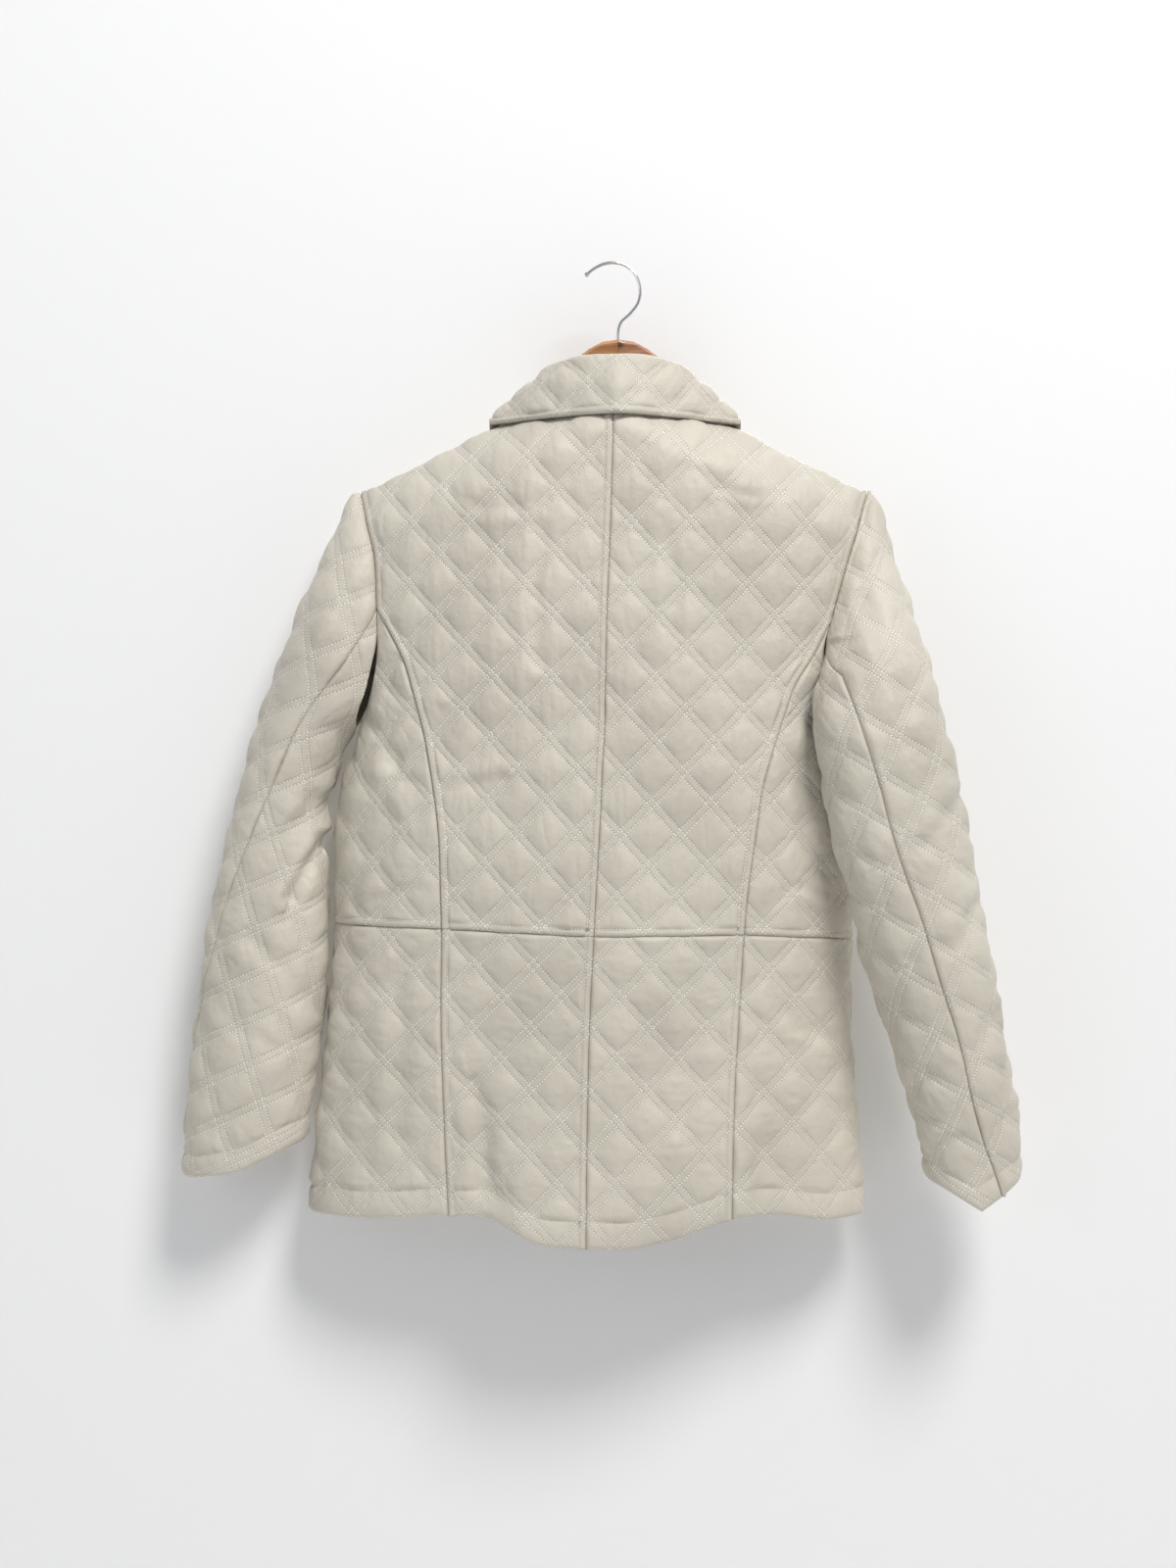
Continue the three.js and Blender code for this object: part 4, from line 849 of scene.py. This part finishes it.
def backPanels(side):
    isLeft = side is left
    name = "left" if isLeft else "right"
    seamTop = float(side["panel"]["z"][0])
    tipRun = shoulderRun(side, True)
    neckXs = np.linspace(shoulder["neckHalf"], 0, 12)[1:]
    neckLine = [onBody(side["sign"] * float(x), shoulder["neckZ"], True) for x in neckXs]
    topRun = tipRun + neckLine
    waistIn, waistOut = waistRun(side, False), waistRun(side, True)
    panelUp = panelRun(side, seamTop, side["waist"]["panel"])
    outerRun = armholeRun(side, True, armhole["top"], seamTop + 0.5) + panelUp
    centre = [(0.0, float(z)) for z in heights(shoulder["neckZ"], waistMiddle)]
    sideLine = (armholeRun(side, True, seamTop, armhole["low"])
                + sideRun(side, armhole["pit"], side["waist"]["side"]))
    seamX = float(side["panel"]["x"][-1])
    panelDown = panelRun(side, side["waist"]["panel"], hem["panelZ"])
    hemIn = hemRun(side, seamX, hem["middleX"])
    hemIn = [point for point in hemIn if point[0] * side["sign"] > 1] + [(0.0, hem["middle"])]
    hemOut = hemRun(side, seamX, side["hemEndX"]) + [sideSeam(side, hem["z"])]
    sideDown = sideRun(side, side["waist"]["side"], hem["z"])
    centreDown = [(0.0, float(z)) for z in heights(waistMiddle, hem["middle"])]
    point = [panelUp[0], panelUp[0]]
    if isLeft:
        upper = (topRun, waistIn, outerRun, centre)
        sideUpper = (point, waistOut[::-1], sideLine, panelUp)
        lower = (waistIn, hemIn, panelDown, centreDown)
        sideLower = (waistOut[::-1], hemOut[::-1], sideDown, panelDown)
        upperEdges = {"left": welt, "right": welt, "bottom": welt}
        lowerEdges = {"left": welt, "right": welt, "bottom": band}
    else:
        upper = (topRun[::-1], waistIn[::-1], centre, outerRun)
        sideUpper = (point, waistOut, panelUp, sideLine)
        lower = (waistIn[::-1], hemIn[::-1], centreDown, panelDown)
        sideLower = (waistOut, hemOut, panelDown, sideDown)
        upperEdges = {"right": welt, "bottom": welt}
        lowerEdges = {"right": welt, "bottom": band}
    panels = [
        ("back_upper_", upper, upperEdges, "down", 3, "hanger_arm_" + name),
        ("side_back_upper_", sideUpper, {"bottom": welt}, "slant", 7, "back_upper_" + name + "_cloth"),
        ("back_lower_", lower, lowerEdges, "across", 11, "back_upper_" + name + "_cloth"),
        ("side_back_lower_", sideLower, {"bottom": band}, "across", 15, "side_back_upper_" + name + "_cloth"),
    ]
    for (start, outline, edges, creaseWay, seed, restsOn), lattice in zip(panels, backLattices[name]):
        sewPanel(start + name, bodyPoint, outline, lattice, edges, creaseWay, [("back", creases["back"])],
                 seed + isLeft)


backLattices = {
    "left": [(4.6, -311.6, 0), (-196, -525, 0), (-75, -638, 0), (-177, -590, 0)],
    "right": [(-7.4, -260.5, 0), (144, -525, 0), (75, -638, 0), (177, -590, 0)],
}
for side in (left, right):
    backPanels(side)
print("back panels sewn")


# Fronts: the left one steps in under the closing edge
front = {"overlap": 15, "tuckStart": 68, "tuckEnd": 42, "tuckDepth": 5.4}
frontTable = {"z": np.arange(-100, -880, -4.0)}
frontTable["s"] = np.array([centreFront(right, z, 0)[0] for z in frontTable["z"]])


def frontTuck(s, z):
    middle = np.interp(-z, -frontTable["z"], frontTable["s"])
    gap = middle - np.abs(s)
    fades = smooth((gap - front["tuckEnd"]) / (front["tuckStart"] - front["tuckEnd"]))
    return front["tuckDepth"] * np.where(gap < 0, 1, 1 - fades)


def frontPanel(side):
    isLeft = side is left
    name = "left" if isLeft else "right"
    neckBottom = shoulder["neckZ"] - shoulder["frontDrop"]
    edge = [centreFront(side, float(z), front["overlap"]) for z in heights(neckBottom, hem["z"], 12)]
    topRun = shoulderRun(side, False) + neckRun(side)[1:] + [edge[0]]
    outerRun = (armholeRun(side, False, armhole["top"], armhole["low"])
                + sideRun(side, armhole["pit"], hem["z"]))
    bottom = [outerRun[-1], edge[-1]]
    if isLeft:
        pieces = (topRun[::-1], bottom[::-1], edge, outerRun)
        edges = {"left": ("fold", 0), "bottom": band}
    else:
        pieces = (topRun, bottom, outerRun, edge)
        edges = {"right": welt, "bottom": band}
    sewPanel("front_" + name, bodyPoint, pieces, (side["sign"] * 450, -311.6, 0), edges, "slant",
             [("front", creases["front"])], 21 + isLeft,
             frontTuck if isLeft else None, cloth["frontStep"])


for side in (left, right):
    frontPanel(side)
print("fronts sewn")


# Sleeves: an upper and an under piece each
def sleevePieces(side):
    isLeft = side is left
    name = "left" if isLeft else "right"
    share = seamShare(side)
    surface = sleevePoint(side)
    lattice = (0, -500, side["turn"])
    backRun = sleeveArmhole(side, True, armhole["top"], side["seamTop"], True)
    seam = [backRun[-1]] + backSeam(side) + [cuffPoint(side, share, True, True)]
    justInside = 0.5001
    frontUpper = frontSeam(side, True) + [cuffPoint(side, justInside, False, True)]
    frontUnder = frontSeam(side, False) + [cuffPoint(side, justInside, False, False)]
    frontArm = sleeveArmhole(side, False, armhole["top"], armhole["low"], True)
    upperBack = backRun + seam[1:]
    upperFront = frontArm[:-1] + frontUpper
    cap = [upperBack[0], upperFront[0]]
    outerShares = np.linspace(share, 0, 8)[1:]
    cuffUpper = ([seam[-1]] + [cuffPoint(side, value, True, True) for value in outerShares]
                 + [cuffPoint(side, value, False, True) for value in (0.1, 0.2, 0.3, 0.4)]
                 + [frontUpper[-1]])
    underArm = sleeveArmhole(side, True, side["seamTop"], armhole["low"], False)
    centre, half = sleeveSpan(side, armhole["pit"])
    pit = onSleeve(side, centre - side["sign"] * half, armhole["pit"], True)
    underTop = [seam[0]] + underArm[1:] + [pit, frontUnder[0]]
    innerShares = np.linspace(share, 1, 10)[1:]
    cuffUnder = ([seam[-1]] + [cuffPoint(side, value, True, False) for value in innerShares]
                 + [cuffPoint(side, value, False, False) for value in (0.9, 0.8, 0.7, 0.6)]
                 + [frontUnder[-1]])
    cuffBand = ("band", 20)
    backEdge = ("cord", 3.6)
    if isLeft:
        upper = (cap[::-1], cuffUpper[::-1], upperFront, upperBack)
        under = (underTop, cuffUnder, seam, frontUnder)
        upperEdges = {"bottom": cuffBand}
    else:
        upper = (cap, cuffUpper, upperBack, upperFront)
        under = (underTop[::-1], cuffUnder[::-1], frontUnder, seam)
        upperEdges = {"bottom": cuffBand, "left": backEdge}
    listed = creases[name + "Sleeve"]
    sets = [("back", listed), ("front", listed)]
    start = "sleeve_" + name
    sewPanel(start + "_upper", surface, upper, lattice, upperEdges, "slant", sets, 31 + isLeft)
    sewPanel(start + "_under", surface, under, lattice, {"bottom": cuffBand}, "slant", sets, 35 + isLeft)


for side in (left, right):
    sleevePieces(side)
print("sleeves sewn")


# Collar: stand, roll and fall round the neck
collar = {
    "end": 2.8,
    "roll": {"half": 60, "behind": 46, "before": 36, "back": -91, "side": -98, "front": -158},
    "edge": {"half": 110, "back": -142, "side": -147, "front": -204},
    "fold": 1.2,
    "clear": 8,
    "lift": 0.9,
}


def bodyDepth(x, z, isBack):
    level = bodyLevel(np.array([float(z)]))
    depth = float(levelDepth(level, bodyPowers, np.array([float(x)]), isBack)[0])
    return float(forward(x)) + depth * float(shoulderRoll(x, z)) - (float(hemSwell(x, z)) if isBack else 0)


def keepClear(point, isBack):
    if point[2] > shoulderLine(point[0]):
        return point
    limit = bodyDepth(point[0], point[2], isBack) + (-collar["clear"] if isBack else collar["clear"])
    point[1] = min(point[1], limit) if isBack else max(point[1], limit)
    return point


def collarSection(angle):
    across, deep = math.sin(angle), math.cos(angle)
    isBack = deep >= 0
    drop = 0 if isBack else -deep
    roll, edge = collar["roll"], collar["edge"]
    neckX = shoulder["neckHalf"] * across
    neckZ = shoulder["neckZ"] if isBack else frontNecklineZ(neckX)
    spot = np.array(onBody(neckX, neckZ, isBack))
    base = bodyPoint(spot[:1], spot[1:])
    neck = (base + leanAtArmhole(normalsOf(bodyPoint, spot[:1], spot[1:]), base) * cloth["wall"])[0]
    neck[2] = max(neck[2], neckZ) + collar["lift"]
    rollZ = roll["side"] + ((roll["back"] - roll["side"]) * deep if isBack
                            else (roll["front"] - roll["side"]) * drop ** 1.5)
    rollDepth = roll["behind"] if isBack else roll["before"]
    rollPoint = np.array([roll["half"] * across, -rollDepth * deep, rollZ])
    edgeX = edge["half"] * math.copysign(abs(across) ** 0.8, across)
    edgeZ = edge["side"] + ((edge["back"] - edge["side"]) * deep if isBack
                            else (edge["front"] - edge["side"]) * drop ** 0.8)
    spotZ = min(edgeZ, float(shoulderLine(edgeX)) - 0.1)
    spot = np.array(onBody(edgeX, spotZ, isBack))
    low = bodyPoint(spot[:1], spot[1:])[0]
    tilt = abs(deep) ** 0.5
    low[1] -= math.copysign(collar["clear"] * tilt, deep)
    low[2] = edgeZ + collar["clear"] * (1 - tilt)
    outward = unit(np.array([low[0] - neck[0], low[1] - neck[1], 0]))
    up = np.array([0, 0, 1.0])
    fold = keepClear(rollPoint + outward * collar["fold"], isBack)
    middle = keepClear((fold + low) / 2 + outward * 3, isBack)
    fallOut = unit(outward * (fold[2] - low[2]) + up * ((low - fold) @ outward))
    wall = cloth["wall"]
    base = [neck, rollPoint - outward * collar["fold"], rollPoint + up * collar["fold"], fold, middle, low]
    way = [-outward, -outward, up, fallOut, fallOut, fallOut]
    return np.array(base), np.array([p + w * wall for p, w in zip(base, way)])


def softCurve(points, count):
    padded = np.concatenate([points[:1], points, points[-1:]])
    chord = np.r_[0, np.cumsum(np.linalg.norm(np.diff(points, axis=0), axis=1))]
    at = np.linspace(0, chord[-1], count)
    k = np.clip(np.searchsorted(chord, at, side="right") - 1, 0, len(points) - 2)
    t = ((at - chord[k]) / (chord[k + 1] - chord[k]))[:, None]
    p0, p1, p2, p3 = padded[k], padded[k + 1], padded[k + 2], padded[k + 3]
    span = (chord[k + 1] - chord[k])[:, None]
    before = np.linalg.norm(p1 - p0, axis=1, keepdims=True)
    after = np.linalg.norm(p3 - p2, axis=1, keepdims=True)
    m1 = (p2 - p0) / (span + before) * span
    m2 = (p3 - p1) / (span + after) * span
    return ((2 * t ** 3 - 3 * t ** 2 + 1) * p1 + (t ** 3 - 2 * t ** 2 + t) * m1
            + (-2 * t ** 3 + 3 * t ** 2) * p2 + (t ** 3 - t ** 2) * m2), at - chord[3]


def sewCollar():
    columns, rows = 4 * 72, 4 * 15
    angles = np.linspace(-collar["end"], collar["end"], columns + 1)
    outer, inner, below = [], [], []
    for angle in angles:
        base, top = collarSection(float(angle))
        inner.append(softCurve(base, rows + 1)[0])
        curve, fall = softCurve(top, rows + 1)
        outer.append(curve)
        below.append(fall)
    outer, inner = np.stack(outer, 1), np.stack(inner, 1)
    fall = np.stack(below, 1)
    alongU = np.gradient(outer, axis=1)
    alongV = np.gradient(outer, axis=0)
    normal = unit(np.cross(alongV, alongU))
    run = np.zeros(outer.shape[:2])
    run[:, 1:] = np.cumsum(np.linalg.norm(np.diff(outer, axis=1), axis=-1), axis=1)
    s = run - run[:, -1:] / 2
    z = -fall
    grid = np.stack([s, z], -1)
    height, a, b = quiltHeight(s, z, (0, 1.5, 0), "slant", 41)
    height, seamGap, seamRun = dressEdges(height, grid, {"bottom": welt, "left": welt, "right": welt}, 41)
    onFall = smooth((fall + 6) / 10)
    scallop = 0.9 * noise(s / 15, z / 40, 47) + 0.5 * noise(s / 7, z / 25, 48)
    height = (height + scallop * smooth((fall + 14) / 10)) * (0.25 + 0.75 * onFall)
    outer = outer + normal * (height * 0.9)[..., None]
    every = cloth["innerEvery"]
    values = {
        "lattice": (np.stack([a, b, np.full_like(a, cloth["lineUnit"])], -1), (1, 1, cloth["lineUnit"])),
        "pattern": (np.stack([s, z, np.zeros_like(s)], -1), (0, 0, 1)),
        "seam": (np.stack([seamGap, seamRun, np.zeros_like(s)], -1), (99, 0, 0)),
    }
    obj = closedShell("collar_cloth", outer, inner[::every, ::every], values)
    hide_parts("collar")
    declareSheet(obj, grid)
    return obj


sewCollar()
print("collar sewn")


# Materials
def newGroup(name, inputs, outputs):
    group = bpy.data.node_groups.new(name, "ShaderNodeTree")
    for label, kind in inputs:
        group.interface.new_socket(label, in_out="INPUT", socket_type=kind)
    for label, kind in outputs:
        group.interface.new_socket(label, in_out="OUTPUT", socket_type=kind)
    start, end = group.nodes.new("NodeGroupInput"), group.nodes.new("NodeGroupOutput")
    return group, start, end


def mathNode(tree, operation, *values):
    node = tree.nodes.new("ShaderNodeMath")
    node.operation = operation
    for i, value in enumerate(values):
        if isinstance(value, (int, float)):
            node.inputs[i].default_value = value
        else:
            tree.links.new(value, node.inputs[i])
    return node.outputs[0]


def rangeNode(tree, value, low, high, toLow=0.0, toHigh=1.0):
    node = tree.nodes.new("ShaderNodeMapRange")
    node.interpolation_type = "SMOOTHSTEP"
    tree.links.new(value, node.inputs["Value"])
    for label, number in (("From Min", low), ("From Max", high), ("To Min", toLow), ("To Max", toHigh)):
        node.inputs[label].default_value = number
    return node.outputs["Result"]


def splitNode(tree, vector):
    node = tree.nodes.new("ShaderNodeSeparateXYZ")
    tree.links.new(vector, node.inputs[0])
    return node.outputs


# Thread and groove of a double stitch line, from the place in the diamonds; the groove mask also places
# painted shade in the colour
def stitchGroup():
    group, start, end = newGroup("quiltStitches", [("Place", "NodeSocketVector")],
                                 [("Thread", "NodeSocketFloat"), ("Groove", "NodeSocketFloat")])
    a, b, size = splitNode(group, start.outputs["Place"])
    threads, grooves = [], []
    for line, along in ((a, b), (b, a)):
        away = mathNode(group, "MULTIPLY", mathNode(group, "PINGPONG", line, 1.0), size)
        off = mathNode(group, "ABSOLUTE", mathNode(group, "SUBTRACT", away, cloth["doubleHalf"]))
        run = mathNode(group, "MULTIPLY", along, size)
        dash = mathNode(group, "PINGPONG", mathNode(group, "MULTIPLY", run, 0.72), 1.0)
        width = rangeNode(group, off, 0.95, 0.35)
        threads.append(mathNode(group, "MULTIPLY", width, rangeNode(group, dash, 0.28, 0.5)))
        grooves.append(rangeNode(group, off, 1.5, 0.1))
    group.links.new(mathNode(group, "MAXIMUM", *threads), end.inputs["Thread"])
    group.links.new(mathNode(group, "MAXIMUM", *grooves), end.inputs["Groove"])
    return group


def topStitchGroup():
    group, start, end = newGroup("topStitches", [("Place", "NodeSocketVector")],
                                 [("Thread", "NodeSocketFloat"), ("Groove", "NodeSocketFloat")])
    off, run, _ = splitNode(group, start.outputs["Place"])
    dash = mathNode(group, "PINGPONG", mathNode(group, "MULTIPLY", run, 0.68), 1.0)
    thread = mathNode(group, "MULTIPLY", rangeNode(group, off, 0.85, 0.3), rangeNode(group, dash, 0.25, 0.5))
    group.links.new(thread, end.inputs["Thread"])
    group.links.new(rangeNode(group, off, 1.6, 0.1), end.inputs["Groove"])
    return group


def noiseNode(tree, vector, scale, detail=2.0):
    node = tree.nodes.new("ShaderNodeTexNoise")
    node.inputs["Scale"].default_value = scale
    node.inputs["Detail"].default_value = detail
    tree.links.new(vector, node.inputs["Vector"])
    return node.outputs["Fac"]


def mapNode(tree, vector, scale):
    node = tree.nodes.new("ShaderNodeMapping")
    node.inputs["Scale"].default_value = scale
    tree.links.new(vector, node.inputs["Vector"])
    return node.outputs["Vector"]


# Fine satin weave and crumple, in millimetres of the cloth
def weaveGroup():
    group, start, end = newGroup("satinWeave", [("Place", "NodeSocketVector")],
                                 [("Weave", "NodeSocketFloat"), ("Crumple", "NodeSocketFloat")])
    place = start.outputs["Place"]
    across = noiseNode(group, mapNode(group, place, (0.5, 1.9, 1)), 1.0, 1.0)
    down = noiseNode(group, mapNode(group, place, (1.7, 0.6, 1)), 1.0, 1.0)
    woven = mathNode(group, "ADD", across, mathNode(group, "MULTIPLY", down, 0.6))
    group.links.new(woven, end.inputs["Weave"])
    group.links.new(noiseNode(group, mapNode(group, place, (0.16, 0.13, 1)), 1.0, 5.0), end.inputs["Crumple"])
    return group


def useGroup(tree, group, vector):
    node = tree.nodes.new("ShaderNodeGroup")
    node.node_tree = group
    tree.links.new(vector, node.inputs["Place"])
    return node.outputs


def attributeNode(tree, name):
    node = tree.nodes.new("ShaderNodeAttribute")
    node.attribute_name = name
    return node.outputs["Vector"]


def mixColour(tree, share, first, second, blend="MIX"):
    node = tree.nodes.new("ShaderNodeMix")
    node.data_type = "RGBA"
    node.blend_type = blend
    for socket, value in ((node.inputs[0], share), (node.inputs[6], first), (node.inputs[7], second)):
        if hasattr(value, "is_output"):
            tree.links.new(value, socket)
        elif isinstance(value, (int, float)):
            socket.default_value = value
        else:
            socket.default_value = (*value, 1)
    return node.outputs[2]


def bumpNode(tree, height, distance, before=None):
    node = tree.nodes.new("ShaderNodeBump")
    node.inputs["Distance"].default_value = distance
    tree.links.new(height, node.inputs["Height"])
    if before is not None:
        tree.links.new(before, node.inputs["Normal"])
    return node.outputs["Normal"]


def newMaterial(name, roughness):
    material = bpy.data.materials.new(name)
    material.use_nodes = True
    shader = material.node_tree.nodes["Principled BSDF"]
    shader.inputs["Roughness"].default_value = roughness
    return material, material.node_tree, shader


satin = {
    "light": (0.575, 0.532, 0.455),
    "dark": (0.500, 0.462, 0.394),
    "worn": (0.60, 0.575, 0.485),
    # painted shade: the colour that the stitch grooves are darkened towards
    "groove_and_shade": (0.36, 0.33, 0.28),
    "thread": (0.80, 0.76, 0.68),
    "roughness": 0.56,
    "sheen": 0.12,
}


def satinMaterial():
    material, tree, shader = newMaterial("satin_quilting", satin["roughness"])
    place, lattice, seam = (attributeNode(tree, name) for name in ("pattern", "lattice", "seam"))
    quilt = useGroup(tree, stitchGroup(), lattice)
    top = useGroup(tree, topStitchGroup(), seam)
    weave = useGroup(tree, weaveGroup(), place)
    cloud = noiseNode(tree, mapNode(tree, place, (0.011, 0.009, 1)), 1.0, 3.0)
    tone = rangeNode(tree, cloud, 0.35, 0.65)
    base = mixColour(tree, tone, satin["light"], satin["dark"])
    broad = noiseNode(tree, mapNode(tree, place, (0.006, 0.007, 1)), 1.0, 2.0)
    base = mixColour(tree, rangeNode(tree, broad, 0.4, 0.6, 0.0, 0.35), base, satin["worn"])
    groove_and_shade = mathNode(tree, "MAXIMUM", quilt["Groove"], top["Groove"])
    thread = mathNode(tree, "MAXIMUM", quilt["Thread"], top["Thread"])
    # Painted shade: the colour darkens in the stitch and seam grooves, where shade falls
    base = mixColour(tree, mathNode(tree, "MULTIPLY", groove_and_shade, 0.16), base, satin["groove_and_shade"])
    base = mixColour(tree, mathNode(tree, "MULTIPLY", thread, 0.9), base, satin["thread"])
    tree.links.new(base, shader.inputs["Base Color"])
    shader.inputs["Sheen Weight"].default_value = satin["sheen"]
    shader.inputs["Sheen Roughness"].default_value = 0.4
    crumple = bumpNode(tree, weave["Crumple"], 0.0011)
    fine = bumpNode(tree, weave["Weave"], 0.00006, crumple)
    pressed = bumpNode(tree, mathNode(tree, "SUBTRACT", thread, groove_and_shade), 0.0005, fine)
    tree.links.new(pressed, shader.inputs["Normal"])
    return material


def woodMaterial(name, tones, roughness, knots):
    material, tree, shader = newMaterial(name, roughness)
    coords = tree.nodes.new("ShaderNodeTexCoord").outputs["Object"]
    grain = noiseNode(tree, mapNode(tree, coords, (14, 60, 190)), 1.0, 6.0)
    broad = noiseNode(tree, mapNode(tree, coords, (9, 20, 34)), 1.0, 3.0)
    wave = tree.nodes.new("ShaderNodeTexWave")
    wave.bands_direction = "Z"
    wave.inputs["Scale"].default_value = 45
    wave.inputs["Distortion"].default_value = 5
    wave.inputs["Detail"].default_value = 2
    tree.links.new(coords, wave.inputs["Vector"])
    colour = mixColour(tree, rangeNode(tree, broad, 0.35, 0.65), tones[0], tones[1])
    streak = mathNode(tree, "MULTIPLY", rangeNode(tree, grain, 0.45, 0.62), 0.45)
    colour = mixColour(tree, streak, colour, tones[2])
    lines = mathNode(tree, "MULTIPLY", rangeNode(tree, wave.outputs["Fac"], 0.6, 0.95), 0.3)
    colour = mixColour(tree, lines, colour, tones[2])
    spots = tree.nodes.new("ShaderNodeTexVoronoi")
    spots.inputs["Scale"].default_value = 1.0
    tree.links.new(mapNode(tree, coords, (34, 20, 52)), spots.inputs["Vector"])
    knot = mathNode(tree, "MULTIPLY", rangeNode(tree, spots.outputs["Distance"], 0.26, 0.05), knots)
    colour = mixColour(tree, knot, colour, (0.045, 0.016, 0.007))
    tree.links.new(colour, shader.inputs["Base Color"])
    shader.inputs["Coat Weight"].default_value = 0.6
    shader.inputs["Coat Roughness"].default_value = 0.12
    tree.links.new(bumpNode(tree, grain, 0.00015), shader.inputs["Normal"])
    return material


def smoothMaterial(name, colour, roughness, metallic=0.0):
    material, tree, shader = newMaterial(name, roughness)
    coords = tree.nodes.new("ShaderNodeTexCoord").outputs["Object"]
    spread = noiseNode(tree, mapNode(tree, coords, (220, 220, 220)), 1.0, 3.0)
    darker = tuple(0.86 * part for part in colour)
    tree.links.new(mixColour(tree, spread, colour, darker), shader.inputs["Base Color"])
    uneven = rangeNode(tree, spread, 0.2, 0.8, roughness * 0.8, roughness * 1.25)
    tree.links.new(uneven, shader.inputs["Roughness"])
    shader.inputs["Metallic"].default_value = metallic
    return material


def wear(obj, material):
    obj.data.materials.clear()
    obj.data.materials.append(material)


satinLook = satinMaterial()
for name in sheetSizes:
    wear(bpy.data.objects[name], satinLook)
woodTones = {
    "left": [(0.47, 0.22, 0.075), (0.37, 0.155, 0.048), (0.19, 0.07, 0.02)],
    "right": [(0.50, 0.25, 0.13), (0.36, 0.15, 0.06), (0.13, 0.042, 0.016)],
}
woodLeft = woodMaterial("varnished_wood_left", woodTones["left"], 0.3, 0.25)
woodRight = woodMaterial("varnished_wood_right", woodTones["right"], 0.27, 0.9)
chrome = smoothMaterial("chrome_wire", (0.72, 0.73, 0.74), 0.16, 1.0)
buttonLook = smoothMaterial("button_plastic", (0.47, 0.41, 0.33), 0.32)
looks = {
    "hanger_arm_left": woodLeft,
    "hanger_arm_right": woodRight,
    "hanger_hook": chrome,
    **{f"button_{number}": buttonLook for number in range(1, 5)},
}
for name, material in looks.items():
    wear(frame["nodes"][name], material)
print("materials ready")


# Stage: a pale backdrop, a pale floor and soft light from the upper right
stage = {"backdropY": 0.064, "floorZ": -1.55, "aim": (-0.024, 0, -0.457), "distance": 1.915}


def plane(name, corners, colour, oneSided):
    mesh = bpy.data.meshes.new(name)
    mesh.from_pydata(corners, [], [(0, 1, 2, 3)])
    obj = bpy.data.objects.new(name, mesh)
    bpy.context.scene.collection.objects.link(obj)
    material, tree, shader = newMaterial(name + "_paint", 0.85)
    shader.inputs["Base Color"].default_value = (*colour, 1)
    if oneSided:
        geometry = tree.nodes.new("ShaderNodeNewGeometry")
        rays = tree.nodes.new("ShaderNodeLightPath")
        clear = tree.nodes.new("ShaderNodeBsdfTransparent")
        mix = tree.nodes.new("ShaderNodeMixShader")
        passes = mathNode(tree, "MAXIMUM", geometry.outputs["Backfacing"], rays.outputs["Is Shadow Ray"])
        tree.links.new(passes, mix.inputs[0])
        tree.links.new(shader.outputs[0], mix.inputs[1])
        tree.links.new(clear.outputs[0], mix.inputs[2])
        tree.links.new(mix.outputs[0], tree.nodes["Material Output"].inputs["Surface"])
    mesh.materials.append(material)
    return obj


backY, low, high = stage["backdropY"], stage["floorZ"], 1.6
backdropCorners = [(-3, backY, low), (3, backY, low), (3, backY, high), (-3, backY, high)]
plane("backdrop", backdropCorners, (0.84, 0.845, 0.85), True)
plane("floor", [(-4, -4, low), (4, -4, low), (4, 4, low), (-4, 4, low)], (0.78, 0.77, 0.76), False)


def areaLight(name, place, aim, size, power, colour=(1, 1, 1)):
    data = bpy.data.lights.new(name, "AREA")
    data.shape = "DISK"
    data.size = size
    data.energy = power
    data.color = colour
    obj = bpy.data.objects.new(name, data)
    obj.location = place
    away = np.array(aim) - np.array(place)
    tilt = math.acos(-away[2] / np.linalg.norm(away))
    obj.rotation_euler = (tilt, 0, math.atan2(away[1], away[0]) - math.pi / 2)
    bpy.context.scene.collection.objects.link(obj)


areaLight("key_light", (1.1, -2.3, 2.5), (0, 0, -0.45), 1.3, 128, (1.0, 0.985, 0.965))
areaLight("fill_light", (-1.6, -1.8, -0.2), (0, 0, -0.5), 1.6, 5, (0.97, 0.985, 1.0))
areaLight("rear_light", (0.5, 2.6, 1.0), (0, 0, -0.45), 1.6, 48)

world = bpy.data.worlds.new("soft_room")
bpy.context.scene.world = world
world.use_nodes = True
world.node_tree.nodes["Background"].inputs[0].default_value = (0.93, 0.955, 1.0, 1)
world.node_tree.nodes["Background"].inputs[1].default_value = 0.37
bpy.context.scene.view_settings.view_transform = "Standard"

cameraData = bpy.data.cameras.new("photo_camera")
cameraData.lens = 50
cameraData.sensor_fit = "VERTICAL"
cameraData.sensor_height = 36
camera = bpy.data.objects.new("photo_camera", cameraData)
camera.location = (stage["aim"][0], -stage["distance"], stage["aim"][2])
camera.rotation_euler = (math.pi / 2, 0, 0)
bpy.context.scene.collection.objects.link(camera)
bpy.context.scene.camera = camera
print("stage ready")

for name, size in sheetSizes.items():
    print("sheet", name, size)
